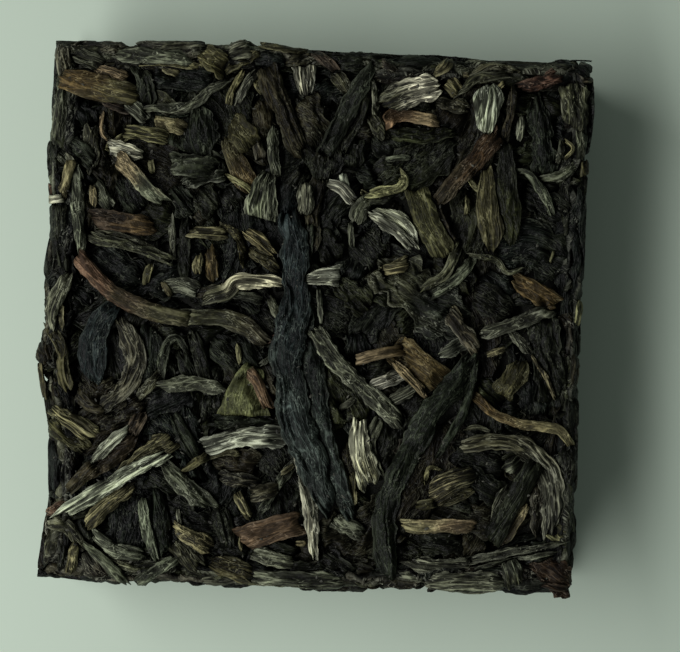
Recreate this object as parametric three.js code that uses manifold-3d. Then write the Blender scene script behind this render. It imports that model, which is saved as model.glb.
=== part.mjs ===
// A small square brick of pressed pu erh tea, in millimetres, +Z up.
// The origin is at the middle of the underside, and the face shown in use is the top.
// Long rolled leaves, flat blades, pale buds and a few stems were packed into a square mould
// and pressed, so the brick is a tangle of leaves on all six sides with deep gaps between them.
import * as THREE from "three";
import { mergeVertices } from "three/addons/utils/BufferGeometryUtils.js";
import Module from "manifold-3d";

// Driving dimensions: the mould, how deep the gaps between the leaves reach from each face, and
// how far a leaf's ends droop
const MOULD_SIDE = 55.8;
const BRICK_HEIGHT = 14;
const SIDE_FACE = 27.3;
const CREVICE_TOP = 1.7;
const CREVICE_SIDE = 0.95;
const CREVICE_UNDER = 0.7;
const CORE_CORNER = 1.4;
const PRESS = 0.12;
const END_DROOP = 0.5;

// How each shape of leaf is built: thickness = flatness * width + body, how wide its crown is
// beside its foot, how wide its two ends are beside its middle, and the length between two bends.
// A fan opens from a narrow start to a wide end.
const SHAPES = {
  roll: { flatness: 0.3, body: 1.1, crown: 0.5, from: 0.45, to: 0.4, step: 5 },
  blade: { flatness: 0.1, body: 1.2, crown: 0.84, from: 0.6, to: 0.5, step: 5 },
  bud: { flatness: 0.3, body: 1.1, crown: 0.55, from: 0.35, to: 0.55, step: 5 },
  fan: { flatness: 0.2, body: 1.2, crown: 0.75, from: 0.2, to: 0.95, step: 4, opens: true },
  stem: { flatness: 0.3, body: 1.2, crown: 0.6, from: 0.9, to: 0.85, step: 5 },
  wall: { flatness: 0.2, body: 1.1, crown: 0.7, from: 0.6, to: 0.5, step: 8.6 },
};

// The pieces that show on the top face, placed by eye: shape, width, how far the piece's crest
// lies below the pressed plane, and the two to seven places [x, y] that the piece runs through
const LONG_DARK_LEAVES = [
  ["roll", 2.0, 0.7, [-0.9, 15.3], [-2.4, 13.2], [-3.0, 10.0]],
  ["roll", 3.0, 0.0, [-2.9, 10.5], [-2.1, 5.5], [-1.9, 0.5], [-2.4, -5], [-1.5, -10], [0.7, -15],
    [2.6, -19.6]],
  ["roll", 1.3, 0.3, [0.2, -3], [0.6, -8], [2.0, -12.5], [3.2, -17], [5.0, -20]],
  ["roll", 2.7, 0.1, [16.6, -3.2], [14, -7.5], [11.2, -11.5], [9.2, -16], [8.3, -20.5], [8.9, -26.6]],
  ["roll", 0.8, 0.0, [17, -3.8], [16.3, -7], [15.4, -10], [13.4, -13.5]],
  ["roll", 1.9, 0.2, [5.6, 26], [3.6, 22.4], [0.8, 16.6]],
  ["roll", 1.3, 0.4, [5.4, 25.4], [4.0, 20.6], [2.7, 17]],
  ["roll", 2.3, 0.1, [-5.4, 25], [-3.7, 21], [-1.5, 17]],
  ["roll", 1.3, 0.5, [-13.4, 9.6], [-13, 3.4]],
  ["roll", 1.5, 0.4, [-12.2, -2.2], [-11, -5], [-10.2, -8.4]],
  ["roll", 2.0, 0.6, [-9.6, -10.7], [-2.6, -10.5]],
  ["roll", 2.0, 0.5, [-15.4, -18.6], [-14.6, -21.5], [-14.2, -24.6]],
  ["roll", 2.2, 0.4, [-14.6, -15.2], [-12, -17.6], [-9.4, -19.6]],
  ["roll", 1.6, 0.3, [-13.8, -10.4], [-12.4, -12.8], [-11, -15.2]],
  ["roll", 1.9, 0.5, [-8.8, -19.8], [-7.4, -23.8]],
  ["roll", 2.0, 0.6, [-25.5, -23.2], [-25.2, -26.9]],
  ["roll", 1.8, 0.7, [-26.1, 10.8], [-26, 7.2], [-25.4, 3.4]],
  ["roll", 1.5, 0.9, [-27, 7], [-26.6, 2.2]],
];

const DARK_BLADES = [
  ["blade", 5.0, 0.5, [-12.4, 21.2], [-11.6, 16]],
  ["blade", 2.4, 0.7, [-15, 15.3], [-10.2, 15.2]],
  ["blade", 1.5, 0.8, [-13.6, 13], [-11.6, 13.8], [-9.3, 14.2]],
  ["blade", 3.4, 0.2, [-20.4, 1.2], [-22, -2.6], [-21.6, -7.7]],
  ["blade", 2.2, 0.5, [-16.3, -1.5], [-16, -7.3]],
  ["blade", 2.4, 0.6, [-6.2, 21.6], [-5.3, 18.2]],
  ["blade", 2.7, 0.7, [-7.2, -2], [-5.2, -5.2]],
  ["blade", 2.0, 0.4, [-18.9, 25.1], [-17.6, 23.2], [-17.3, 21]],
  ["blade", 2.4, 0.8, [-17.2, 24.2], [-11, 24]],
  ["blade", 3.2, 1.2, [-21.8, 6], [-17.2, 3.4]],
  ["blade", 2.1, 0.3, [0.8, 26], [6.2, 26]],
  ["blade", 1.9, 0.4, [-6.6, 26.2], [-3.2, 25.9]],
  ["blade", 2.4, 1.1, [-25.4, -13.6], [-25.4, -18.8]],
  ["blade", 4.0, 1.1, [-17.9, -18.6], [-18.2, -24.4]],
  ["blade", 2.6, 0.5, [23.6, 1], [24, -3], [25, -7.4]],
  ["blade", 3.0, 0.8, [22, 23.2], [22.7, 19.5], [23.2, 15.4]],
  ["blade", 3.0, 0.8, [5.4, 4.4], [8.8, 1.6]],
  ["blade", 3.2, 0.7, [2.4, 3.6], [5.6, 1]],
  ["blade", 2.6, 0.8, [16.6, 2.8], [20.4, 1.2]],
  ["blade", 2.2, 0.7, [22.8, -23.6], [27, -22.2]],
];

const GREY_LEAVES = [
  ["roll", 1.9, 0.1, [0.3, -1.4], [2.6, -4.2], [5.6, -7], [9.6, -10.6]],
  ["roll", 1.7, 0.4, [-19.8, -1], [-18.1, -4], [-18.4, -7], [-20.2, -9.6]],
  ["roll", 1.3, 0.2, [-15.2, -7.6], [-11.5, -7.2], [-8.4, -7.6]],
  ["roll", 1.5, 0.2, [-24.8, 15], [-24.1, 10], [-23.7, 5.8]],
  ["roll", 1.9, 0.5, [-25.4, 16.6], [-22.8, 14.6]],
  ["roll", 2.0, 0.4, [-22.2, 13], [-20.6, 10.4]],
  ["roll", 2.4, 0.6, [-20, 13.6], [-17.6, 10.4]],
  ["roll", 1.6, 0.5, [-23.2, 18.8], [-22.9, 14.2]],
  ["roll", 1.5, 0.2, [-20.6, 26], [-17, 25.9], [-13.2, 25.5]],
  ["roll", 1.5, 0.5, [-25.4, 26.3], [-19.2, 26.8]],
  ["roll", 1.5, 0.3, [-18.8, 26.7], [-11.8, 27.2]],
  ["roll", 1.0, 0.3, [-17.6, 20.4], [-13.4, 20.9], [-11, 22.8], [-9.4, 23.6]],
  ["roll", 1.5, 0.4, [-26.1, 22.4], [-26.4, 17]],
  ["roll", 2.0, 0.4, [-25, 25.9], [-22.2, 24.6]],
  ["roll", 1.3, 0.2, [-4.4, 19.2], [-4.3, 16.5], [-3.7, 14.2]],
  ["roll", 1.3, 0.3, [4.0, 9.6], [5.0, 11.9], [8.2, 12.8]],
  ["roll", 1.9, 0.6, [0.6, 15], [-0.4, 10], [-0.5, 5.8]],
  ["roll", 1.2, 0.3, [12.2, 2.6], [14.8, 4.8], [16.2, 6.8]],
  ["roll", 1.6, 0.0, [13.7, 0.9], [15.4, -0.9], [17, -2.7]],
  ["roll", 1.3, 0.1, [17.4, -0.9], [20.6, 0.3], [24.2, 1.5]],
  ["roll", 1.7, 0.1, [16, -11.8], [19, -12], [22.2, -12.2], [24.6, -14], [25.6, -17.5], [25.4, -21]],
  ["roll", 1.9, 0.6, [23.9, -15.6], [24.1, -21.2]],
  ["roll", 0.8, 0.1, [17, -24.2], [21, -23], [26, -22]],
  ["roll", 1.6, 0.4, [10.4, -24.4], [15, -24.8], [19.8, -24.4]],
  ["roll", 1.8, 0.4, [13.6, -26.2], [20.4, -25.7]],
  ["roll", 2.2, 0.4, [-22.2, -24.6], [-20, -27]],
  ["roll", 1.3, 0.2, [-21.2, -22.8], [-19, -24.4], [-16.2, -24.8]],
  ["roll", 1.0, 0.0, [-16.4, -19.2], [-15.9, -22], [-14.9, -25.2]],
  ["roll", 1.4, 0.2, [-13, -24.8], [-16.9, -27.6]],
  ["roll", 1.1, 0.4, [-4.6, -20.2], [-2.2, -16.4], [-1.2, -14.8]],
  ["roll", 3.0, 0.3, [25.7, 24.6], [26, 20]],
  ["roll", 1.1, 0.3, [27, 20], [26.6, 17], [24.8, 15.2], [22.8, 14.8]],
  ["roll", 1.5, 0.2, [-15.3, 2.7], [-13.2, 2.9], [-11.6, 2.2]],
];

const PALE_BUDS = [
  ["bud", 2.3, 0.0, [6.3, 21.9], [9.2, 23.1], [12.2, 23.9]],
  ["fan", 2.9, 0.1, [16.9, 19.8], [17, 22], [17.1, 24]],
  ["fan", 2.8, 0.2, [-1.2, 22.6], [-1.5, 24], [-1.7, 25.4]],
  ["fan", 3.8, 0.1, [-4.7, 14.4], [-5.2, 12], [-5.5, 9.8]],
  ["bud", 1.7, 0.2, [-1.1, 13.5], [-1.2, 10.4]],
  ["bud", 1.3, 0.0, [5.5, 10.4], [8, 9.1], [10, 7.4]],
  ["bud", 1.3, 0.0, [6.4, 11.2], [9.2, 9.8], [10.6, 7.6]],
  ["bud", 1.5, 0.0, [-10.6, 1.7], [-8.8, 2.4], [-7.6, 3.5], [-3.1, 3.2]],
  ["bud", 2.0, 0.0, [-10.4, -13.6], [-6.4, -12.3], [-1.1, -12.3]],
  ["bud", 1.6, 0.0, [-0.5, -15], [0.3, -18], [1, -21], [1.1, -24.1]],
  ["bud", 1.4, 0.0, [-14.2, -14.2], [-18, -16.8], [-24.6, -20.9]],
  ["bud", 2.3, 0.1, [-13.5, -12.9], [-16, -14.6], [-18.8, -16.8]],
  ["bud", 1.5, 0.2, [-17.4, -17.8], [-19.8, -19.9], [-22, -22]],
  ["bud", 2.3, 0.1, [-25.9, -10.2], [-23.8, -11.4], [-21.6, -12.9]],
  ["bud", 1.7, 0.1, [-0.2, 4], [2.7, 4]],
  ["bud", 1.5, 0.0, [5.2, -10.7], [5.5, -13.4], [7, -16.6]],
  ["bud", 1.2, 0.2, [7.2, -10.2], [6.4, -12.6], [7.6, -15.8]],
  ["bud", 1.6, 0.2, [6.4, -7], [10.6, -5.3]],
  ["bud", 1.5, 0.2, [-7, 8.4], [-4, 6.2]],
  ["bud", 1.7, 0.1, [-21.2, 16.6], [-17.7, 15.8]],
  ["bud", 2.1, 0.0, [-9.4, 26.5], [-7.2, 27.2]],
];

const OLIVE_LEAVES = [
  ["blade", 2.4, 0.1, [-26.2, 23.5], [-23, 22.6], [-19.2, 22.2]],
  ["blade", 2.4, 0.3, [-8.7, 19.6], [-6.6, 17.1]],
  ["blade", 2.6, 0.4, [-8.8, 15.2], [-5.8, 13]],
  ["blade", 2.4, 0.2, [-11.9, 26.5], [-9.5, 25.2]],
  ["roll", 1.5, 0.3, [7, 19], [10.5, 18.7], [14.2, 19.2]],
  ["blade", 2.1, 0.2, [-22.3, 9.2], [-16.8, 8.8]],
  ["roll", 1.2, 0.2, [-22.6, 7.4], [-18.6, 6.4], [-14.5, 5]],
  ["blade", 2.1, 0.1, [21.3, -3.5], [19.7, -7.2]],
  ["roll", 1.0, 0.1, [16.6, -7], [19, -9.1], [22, -10.1], [25.4, -10.5], [27, -12.2]],
  ["roll", 2.0, 0.1, [17.4, 14.4], [17.9, 8.4]],
  ["roll", 1.9, 0.2, [18.9, 18.2], [19.4, 9.2]],
  ["blade", 2.2, 0.2, [10.3, 13.2], [11.4, 10], [13, 7]],
  ["roll", 1.3, 0.3, [11.5, 12.8], [13.9, 7.4]],
  ["blade", 1.9, 0.3, [20.3, 4.6], [25, 2.1]],
  ["roll", 2.1, 0.1, [12.8, -17.4], [15, -16.2], [17.4, -15.6]],
  ["roll", 1.8, 0.2, [-13, -21.6], [-9.4, -24]],
  ["roll", 2.1, 0.4, [-12.8, -23.4], [-10, -26.2]],
  ["roll", 2.1, 0.3, [-9.4, -25.2], [-5, -26.4]],
  ["roll", 1.3, 0.2, [-26.4, -2.1], [-25, -4.2], [-24.9, -6.4], [-24.4, -8.4]],
  ["roll", 1.4, 0.1, [-24.6, 3.4], [-25.6, 1.6], [-26.4, -0.4], [-26.2, -2.2]],
  ["roll", 2.2, 0.3, [-26.3, -11.6], [-22.3, -14.4]],
  ["roll", 2.1, 0.4, [25, -19.8], [26.8, -21.4]],
  ["fan", 5.0, 0.2, [-6.5, -5.9], [-6.6, -9.8]],
];

const BROWN_STEMS = [
  ["stem", 2.0, 0.0, [17.8, 18.7], [12.5, 12.3]],
  ["stem", 1.3, 0.0, [7, 20], [9.2, 21], [12.4, 20.8]],
  ["stem", 1.5, 0.0, [-20, 15.2], [-15.6, 11.2]],
  ["stem", 1.8, 0.1, [-23.8, 5.1], [-20.9, 2.2], [-16.8, 0.3], [-12.6, -0.6], [-8, -0.5], [-4.3, -2.5]],
  ["roll", 1.1, 0.1, [20, 24.1], [22.2, 24.6], [24.6, 25.1]],
  ["roll", 1.2, 0.2, [19.6, 24.2], [19.3, 21], [18.9, 18.6]],
  ["blade", 2.4, 0.3, [-18.2, -13.4], [-21.4, -15.8], [-24.2, -18.4]],
  ["stem", 1.2, 0.0, [-6, -5.6], [-5, -7], [-3.9, -9.2]],
  ["blade", 2.4, 0.0, [-6, -22.6], [-0.4, -20.9]],
  ["blade", 2.8, 0.2, [24.3, -24.8], [27.5, -25.9]],
  ["roll", 2.4, 0.2, [-27, -3.4], [-26.5, -5.4]],
  ["fan", 2.6, 0.1, [4.6, -3.6], [8.6, -3], [11.4, -3.8], [13.4, -6]],
  ["stem", 2.0, 0.0, [23.3, -13.8], [21.2, -17.9], [19.1, -22]],
  ["stem", 1.4, 0.1, [9.9, -20.8], [17.4, -20.7]],
  ["roll", 1.1, 0.1, [-25.2, 15], [-25.6, 11.2]],
];

const TOP_PIECES = [LONG_DARK_LEAVES, DARK_BLADES, GREY_LEAVES, PALE_BUDS, OLIVE_LEAVES, BROWN_STEMS].flat();

// Leaves that are only half seen between the placed ones, in a loose grid under them
const UNDER_LEAF = { seed: 7, perRow: 5, spacing: 10.2, width: 3.2, length: 10.5, depth: 1.05, spread: 0.25 };

// Leaves of the four side walls: rows round the brick, each filled end to end with leaves of
// drawn lengths
const WALL_ROWS = [1.8, 4.9, 8.0, 11.1];
const WALL_LEAF = {
  seed: 35, shortest: 13, longest: 22, overlap: 1.2, width: 3.3, reach: 26.9,
  tilt: 0.06, proud: 0.65, stray: 0.5,
};

// Leaves pressed flush into the underside, and one across its middle that the brick rests on
const BASE_LEAF = { seed: 53, perRow: 3, spacing: 16.5, width: 7.6, length: 18, sunk: 0.36, spread: 0.25 };

// How far the rule-driven leaves stray from their grid, and how much their widths differ
const GRID_STRAY = 1;
const WIDTH_SPREAD = 0.12;

// How much a leaf leans about its own length, and how far its crest rises and falls
const LEAF_SEED = 20250;
const LEAF_LEAN = 0.14;
const LEAF_RIPPLE = 0.09;

// How much of a leaf's length each end tapers over, and how full it stays up to there
const END_TAPER = 0.12;
const FULLNESS = 0.7;

const LEAF_SIDES = 4;
const FEWEST_BENDS = 2;
const MOST_BENDS = 8;
const SMALLEST_STEP = 0.06;
const POINT_GAP = 0.004;
const TEA_COLOUR = 0x3b3a33;
const UP = new THREE.Vector3(0, 0, 1);
const DOWN = new THREE.Vector3(0, 0, -1);

const solids = await Module();
solids.setup();

// A small repeatable draw: the same numbers come out in the same order each run
function numberDraw(seed) {
  let state = seed;
  return (low, high) => {
    state = (state * 1664525 + 1013904223) % 4294967296;
    return low + (high - low) * (state / 4294967296);
  };
}

function asSolid(geometry) {
  geometry.deleteAttribute("normal");
  geometry.deleteAttribute("uv");
  const merged = mergeVertices(geometry);
  return new solids.Manifold(new solids.Mesh({
    numProp: 3,
    vertProperties: new Float32Array(merged.attributes.position.array),
    triVerts: new Uint32Array(merged.index.array),
  }));
}

// Two points of touching leaves that lie nearer than POINT_GAP would later be taken for one,
// so the second of them sinks in by twice that
function keepPointsApart(geometry) {
  const { position, normal } = geometry.attributes;
  const here = new THREE.Vector3();
  const other = new THREE.Vector3();
  const outward = new THREE.Vector3();
  for (let i = 0; i < position.count; i += 1) {
    here.fromBufferAttribute(position, i);
    for (let j = i + 1; j < position.count; j += 1) {
      other.fromBufferAttribute(position, j);
      if (here.distanceTo(other) < POINT_GAP) {
        outward.fromBufferAttribute(normal, j);
        other.addScaledVector(outward, -2 * POINT_GAP);
        position.setXYZ(j, other.x, other.y, other.z);
      }
    }
  }
}

function asGeometry(solid) {
  const mesh = solid.getMesh();
  const geometry = new THREE.BufferGeometry();
  geometry.setAttribute("position", new THREE.BufferAttribute(mesh.vertProperties, 3));
  geometry.setIndex(new THREE.BufferAttribute(mesh.triVerts, 1));
  geometry.computeVertexNormals();
  keepPointsApart(geometry);
  return geometry;
}

// Width of a leaf, as a share of its full width, along its length from 0 at its start to 1 at its
// end: a fan opens steadily, and any other leaf is widest near its middle
function widthShare(shape, along) {
  if (shape.opens) {
    return shape.from + (shape.to - shape.from) * along;
  }
  const end = along < 0.5 ? shape.from : shape.to;
  const inside = END_TAPER + (1 - 2 * END_TAPER) * along;
  return end + (1 - end) * Math.sin(Math.PI * inside) ** FULLNESS;
}

// One leaf as a bent four-sided bar: its narrow crown follows the crest line and faces "out",
// its wide foot is buried in the brick, and its two ends droop
function leafSolid({ kind, width, crest, out }, draw) {
  const shape = SHAPES[kind];
  const line = crest.length > 2
    ? new THREE.CatmullRomCurve3(crest, false, "centripetal")
    : new THREE.LineCurve3(crest[0], crest[1]);
  const bends = THREE.MathUtils.clamp(Math.round(line.getLength() / shape.step), FEWEST_BENDS, MOST_BENDS);
  const bar = new THREE.CylinderGeometry(1, 1, 1, LEAF_SIDES, bends, false, Math.PI / LEAF_SIDES);
  const thickness = shape.flatness * width + shape.body;
  const lean = draw(-LEAF_LEAN, LEAF_LEAN);
  const ripple = Array.from({ length: bends + 1 }, () => draw(-LEAF_RIPPLE, LEAF_RIPPLE));
  const place = bar.attributes.position;
  for (let i = 0; i < place.count; i += 1) {
    const along = THREE.MathUtils.clamp(0.5 - place.getY(i), 0, 1);
    const tangent = line.getTangentAt(along);
    const across = new THREE.Vector3().crossVectors(tangent, out).normalize();
    const up = new THREE.Vector3().crossVectors(across, tangent).normalize();
    const level = Math.round(place.getX(i) * Math.SQRT2);
    const side = Math.round(place.getZ(i) * Math.SQRT2);
    const half = widthShare(shape, along) * (level > 0 ? shape.crown : 1) * width / 2;
    const x = side * half;
    const y = (level - 1) * thickness / 2 - END_DROOP * (2 * along - 1) ** 4;
    const corner = line.getPointAt(along);
    corner.addScaledVector(across, x * Math.cos(lean) - y * Math.sin(lean));
    corner.addScaledVector(up, x * Math.sin(lean) + y * Math.cos(lean) + ripple[Math.round(along * bends)]);
    place.setXYZ(i, corner.x, corner.y, corner.z);
  }
  return asSolid(bar);
}

// Pieces with no depth stand a hair above the mould's plane, so that pressing trims them flat
function topLeaf([kind, width, depth, ...path]) {
  const height = BRICK_HEIGHT - depth + (depth < PRESS ? PRESS : 0);
  const crest = path.map(([x, y]) => new THREE.Vector3(x, y, height));
  return { kind, width, crest, out: UP };
}

// The two ends of a straight leaf that lies across the point (x, y) at a drawn heading
function drawnEnds(x, y, length, draw) {
  const heading = draw(0, Math.PI);
  const half = [Math.cos(heading) * length / 2, Math.sin(heading) * length / 2];
  return [-1, 1].map((end) => [x + end * half[0], y + end * half[1]]);
}

// The places of a square grid about the middle of the brick, each a little astray
function looseGrid(perRow, spacing, draw) {
  const first = -(perRow - 1) / 2;
  const steps = Array.from({ length: perRow }, (_, i) => (first + i) * spacing);
  const stray = () => draw(-GRID_STRAY, GRID_STRAY);
  return steps.flatMap((x) => steps.map((y) => [x + stray(), y + stray()]));
}

function drawnWidth(width, draw) {
  return width * draw(1 - WIDTH_SPREAD, 1 + WIDTH_SPREAD);
}

function underLeaves() {
  const { seed, perRow, spacing, width, length, depth, spread } = UNDER_LEAF;
  const draw = numberDraw(seed);
  return looseGrid(perRow, spacing, draw).map(([x, y]) => topLeaf([
    "blade",
    drawnWidth(width, draw),
    depth + draw(-spread, spread),
    ...drawnEnds(x, y, length, draw),
  ]));
}

// Cuts one row of a wall into leaves, as [start, end] along the wall
function wallCourse(draw) {
  const { shortest, longest, overlap, reach } = WALL_LEAF;
  const course = [];
  let start = -reach;
  while (start < reach - 2 * overlap) {
    const drawn = start + draw(shortest, longest);
    const end = drawn > reach - shortest / 2 ? reach : drawn;
    course.push([start, end]);
    start = end - overlap;
  }
  return course;
}

// The four side walls, each laid out facing +X and then turned about Z to its own side
function wallLeaves() {
  const { seed, width, tilt, proud, stray } = WALL_LEAF;
  const draw = numberDraw(seed);
  const leaves = [];
  for (let side = 0; side < 4; side += 1) {
    const turn = new THREE.Matrix4().makeRotationZ(side * Math.PI / 2);
    const out = new THREE.Vector3(1, 0, 0).applyMatrix4(turn);
    for (const z of WALL_ROWS) {
      for (const [start, end] of wallCourse(draw)) {
        const face = SIDE_FACE + draw(-proud, proud);
        const rise = z + draw(-stray, stray);
        const slope = draw(-tilt, tilt) * (end - start) / 2;
        const crest = [[start, rise - slope], [end, rise + slope]]
          .map(([y, height]) => new THREE.Vector3(face, y, height).applyMatrix4(turn));
        leaves.push({ kind: "wall", width: drawnWidth(width, draw), crest, out });
      }
    }
  }
  return leaves;
}

function baseLeaves() {
  const { seed, perRow, spacing, width, length, sunk, spread } = BASE_LEAF;
  const draw = numberDraw(seed);
  return [[0, 0], ...looseGrid(perRow, spacing, draw)].map(([x, y], i) => {
    const depth = (i === 0 ? 0 : draw(0, spread)) - sunk;
    const crest = drawnEnds(x, y, length, draw).map((end) => new THREE.Vector3(...end, depth));
    return { kind: "blade", width: drawnWidth(width, draw), crest, out: DOWN };
  });
}

// The close-packed middle of the brick, a little inside every face, with cut corners
function packedCore() {
  const half = SIDE_FACE - CREVICE_SIDE;
  const short = half - CORE_CORNER;
  const quarter = [[short, -half], [half, -short], [half, short], [short, half]];
  const outline = new THREE.Shape([...quarter, ...quarter.map(([x, y]) => [-x, -y])]
    .map(([x, y]) => new THREE.Vector2(x, y)));
  const block = new THREE.ExtrudeGeometry(outline, {
    depth: BRICK_HEIGHT - CREVICE_TOP - CREVICE_UNDER,
    bevelEnabled: false,
  });
  block.translate(0, 0, CREVICE_UNDER);
  return asSolid(block);
}

function mouldBox() {
  const box = new THREE.BoxGeometry(MOULD_SIDE, MOULD_SIDE, BRICK_HEIGHT);
  box.translate(0, 0, BRICK_HEIGHT / 2);
  return asSolid(box);
}

// Joins every leaf to the core, trims them flush with the mould and keeps the one brick:
// a loose scrap is dropped and a gap that pressing has sealed is filled
function pressedBrick() {
  const draw = numberDraw(LEAF_SEED);
  const leaves = [...TOP_PIECES.map(topLeaf), ...underLeaves(), ...wallLeaves(), ...baseLeaves()];
  const joined = leaves.reduce((brick, leaf) => brick.add(leafSolid(leaf, draw)), packedCore());
  const trimmed = joined.intersect(mouldBox()).simplify(SMALLEST_STEP);
  return trimmed.decompose().reduce((most, piece) => (piece.volume() > most.volume() ? piece : most));
}

function teaBrick() {
  const material = new THREE.MeshStandardMaterial({ color: TEA_COLOUR, roughness: 0.8, metalness: 0 });
  const brick = new THREE.Mesh(asGeometry(pressedBrick()), material);
  brick.name = "tea_brick";
  return brick;
}

const part = new THREE.Group();
part.add(teaBrick());

export default part;
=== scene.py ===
# %% [markdown]
# A small square of pressed pu erh tea.
# The real thing is a handful of steamed leaves, buds and bits of stem that were pressed
# in a square mould and dried. So the surface is a tangle of separate leaves, squeezed to
# one level, with deep black gaps between them.
# This script lays the leaves one by one round a dark core, from the top ones down. All
# leaf work is in millimetres on a flat face, and turned into metres at the very end.

import math
import time

import bmesh
import bpy
import numpy as np
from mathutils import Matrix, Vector, noise


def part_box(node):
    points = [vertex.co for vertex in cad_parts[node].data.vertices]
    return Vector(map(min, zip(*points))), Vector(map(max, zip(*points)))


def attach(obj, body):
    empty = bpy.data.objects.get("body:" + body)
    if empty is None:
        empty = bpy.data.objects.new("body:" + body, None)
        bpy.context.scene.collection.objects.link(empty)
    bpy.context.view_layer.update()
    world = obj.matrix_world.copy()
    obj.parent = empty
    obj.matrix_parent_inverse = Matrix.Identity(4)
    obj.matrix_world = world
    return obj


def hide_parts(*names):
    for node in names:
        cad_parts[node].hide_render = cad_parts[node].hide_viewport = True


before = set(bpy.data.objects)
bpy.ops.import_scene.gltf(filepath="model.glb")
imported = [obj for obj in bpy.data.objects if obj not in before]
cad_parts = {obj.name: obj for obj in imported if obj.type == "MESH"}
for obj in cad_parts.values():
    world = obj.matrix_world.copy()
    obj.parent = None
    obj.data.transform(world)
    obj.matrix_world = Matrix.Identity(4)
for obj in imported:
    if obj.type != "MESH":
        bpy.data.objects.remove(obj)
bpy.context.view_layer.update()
started = time.time()

# %% Sizes taken from the brick
MM = 0.001
SEED = 20250
_, brick_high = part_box("tea_brick")
HEIGHT = brick_high.z / MM
SIDE_FACE = brick_high.x / MM - 0.6
TOP_GAP = 3.0
SIDE_GAP = 1.0
UNDER_GAP = 0.9
print(f"brick {2 * SIDE_FACE:.1f} mm square and {HEIGHT:.1f} mm thick")

# %% [markdown]
# Colours of the leaves.
# Fermented leaf dries almost black, with blue, grey, olive and brown casts, and the young
# buds keep a silver down. Each tone is written as it would be picked with a colour picker,
# red, green and blue up to 255, with how pale its ridges turn, which is partly real down and
# partly a painted highlight, and the piece that it belongs to. Shaders want linear light, so
# one function turns it.

# %% Tones
TONES = {
    "ink": (17, 22, 18, 0.40, "dark_leaves"),
    "coal": (20, 22, 13, 0.45, "dark_leaves"),
    "slate": (28, 33, 23, 0.55, "dark_leaves"),
    "blue": (27, 34, 33, 0.40, "dark_leaves"),
    "steel": (46, 53, 47, 0.50, "dark_leaves"),
    "umber": (38, 34, 21, 0.55, "dark_leaves"),
    "moss": (32, 35, 16, 0.50, "dark_leaves"),
    "ash": (54, 57, 42, 0.85, "grey_leaves"),
    "pewter": (76, 79, 62, 1.00, "grey_leaves"),
    "dun": (56, 56, 36, 0.75, "grey_leaves"),
    "taupe": (54, 50, 35, 0.75, "grey_leaves"),
    "olive": (61, 58, 35, 0.60, "olive_leaves"),
    "amber": (84, 70, 42, 0.60, "olive_leaves"),
    "straw": (102, 98, 68, 0.90, "olive_leaves"),
    "sage": (90, 92, 60, 0.45, "olive_leaves"),
    "bark": (54, 46, 34, 0.40, "brown_stems"),
    "copper": (98, 78, 56, 0.70, "brown_stems"),
    "tan": (110, 96, 70, 0.65, "brown_stems"),
    "chestnut": (86, 67, 50, 0.60, "brown_stems"),
    "brick": (64, 43, 33, 0.40, "brown_stems"),
    "russet": (46, 34, 20, 0.30, "brown_stems"),
    "silver": (132, 134, 111, 1.00, "silver_buds"),
    "cream": (194, 190, 158, 1.00, "silver_buds"),
}


def linear(red, green, blue):
    """Turn a picked colour into linear light."""
    picked = np.array([red, green, blue]) / 255
    return ((picked + 0.055) / 1.055) ** 2.4


print(len(TONES), "tones, darkest", linear(*TONES["ink"][:3]).round(4))

# %% [markdown]
# Soft random numbers.
# Nothing on a dried leaf repeats, but its edge and folds still run smoothly. Two helpers
# give that: a line that wanders along the leaf, and blotches that spread over it. Both
# draw a few random values and blend between them, and every leaf has its own seed, so the
# brick comes out the same each time.

# %% Random helpers
def blend(share):
    """Ease from 0 to 1 with no corner at either end."""
    return share * share * (3 - 2 * share)


def wander(rng, where, step, amount):
    """A smooth random line, with a new value every step millimetres."""
    spot = where / step
    values = rng.uniform(-amount, amount, int(spot.max()) + 3)
    cell = spot.astype(int)
    share = blend(spot - cell)
    return values[cell] * (1 - share) + values[cell + 1] * share


def blotches(rng, across, along, wide, long):
    """A smooth random sheet from -1 to 1, with cells wide by long millimetres."""
    x = (across - across.min()) / wide
    y = (along - along.min()) / long
    cells = rng.uniform(-1, 1, (int(x.max()) + 3, int(y.max()) + 3))
    i = x.astype(int)
    j = y.astype(int)
    u = blend(x - i)
    v = blend(y - j)
    near = cells[i, j] * (1 - u) + cells[i + 1, j] * u
    far = cells[i, j + 1] * (1 - u) + cells[i + 1, j + 1] * u
    return near * (1 - v) + far * v


# %% [markdown]
# The centre line of a leaf.
# A leaf is placed by a few points that it runs through. A Catmull-Rom curve passes through
# every one of them, which suits points that were given one by one. It is then cut into
# equal steps, so that the wrinkles keep their size along the whole leaf.

# %% Centre line
CURVE_STEPS = 16


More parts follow.
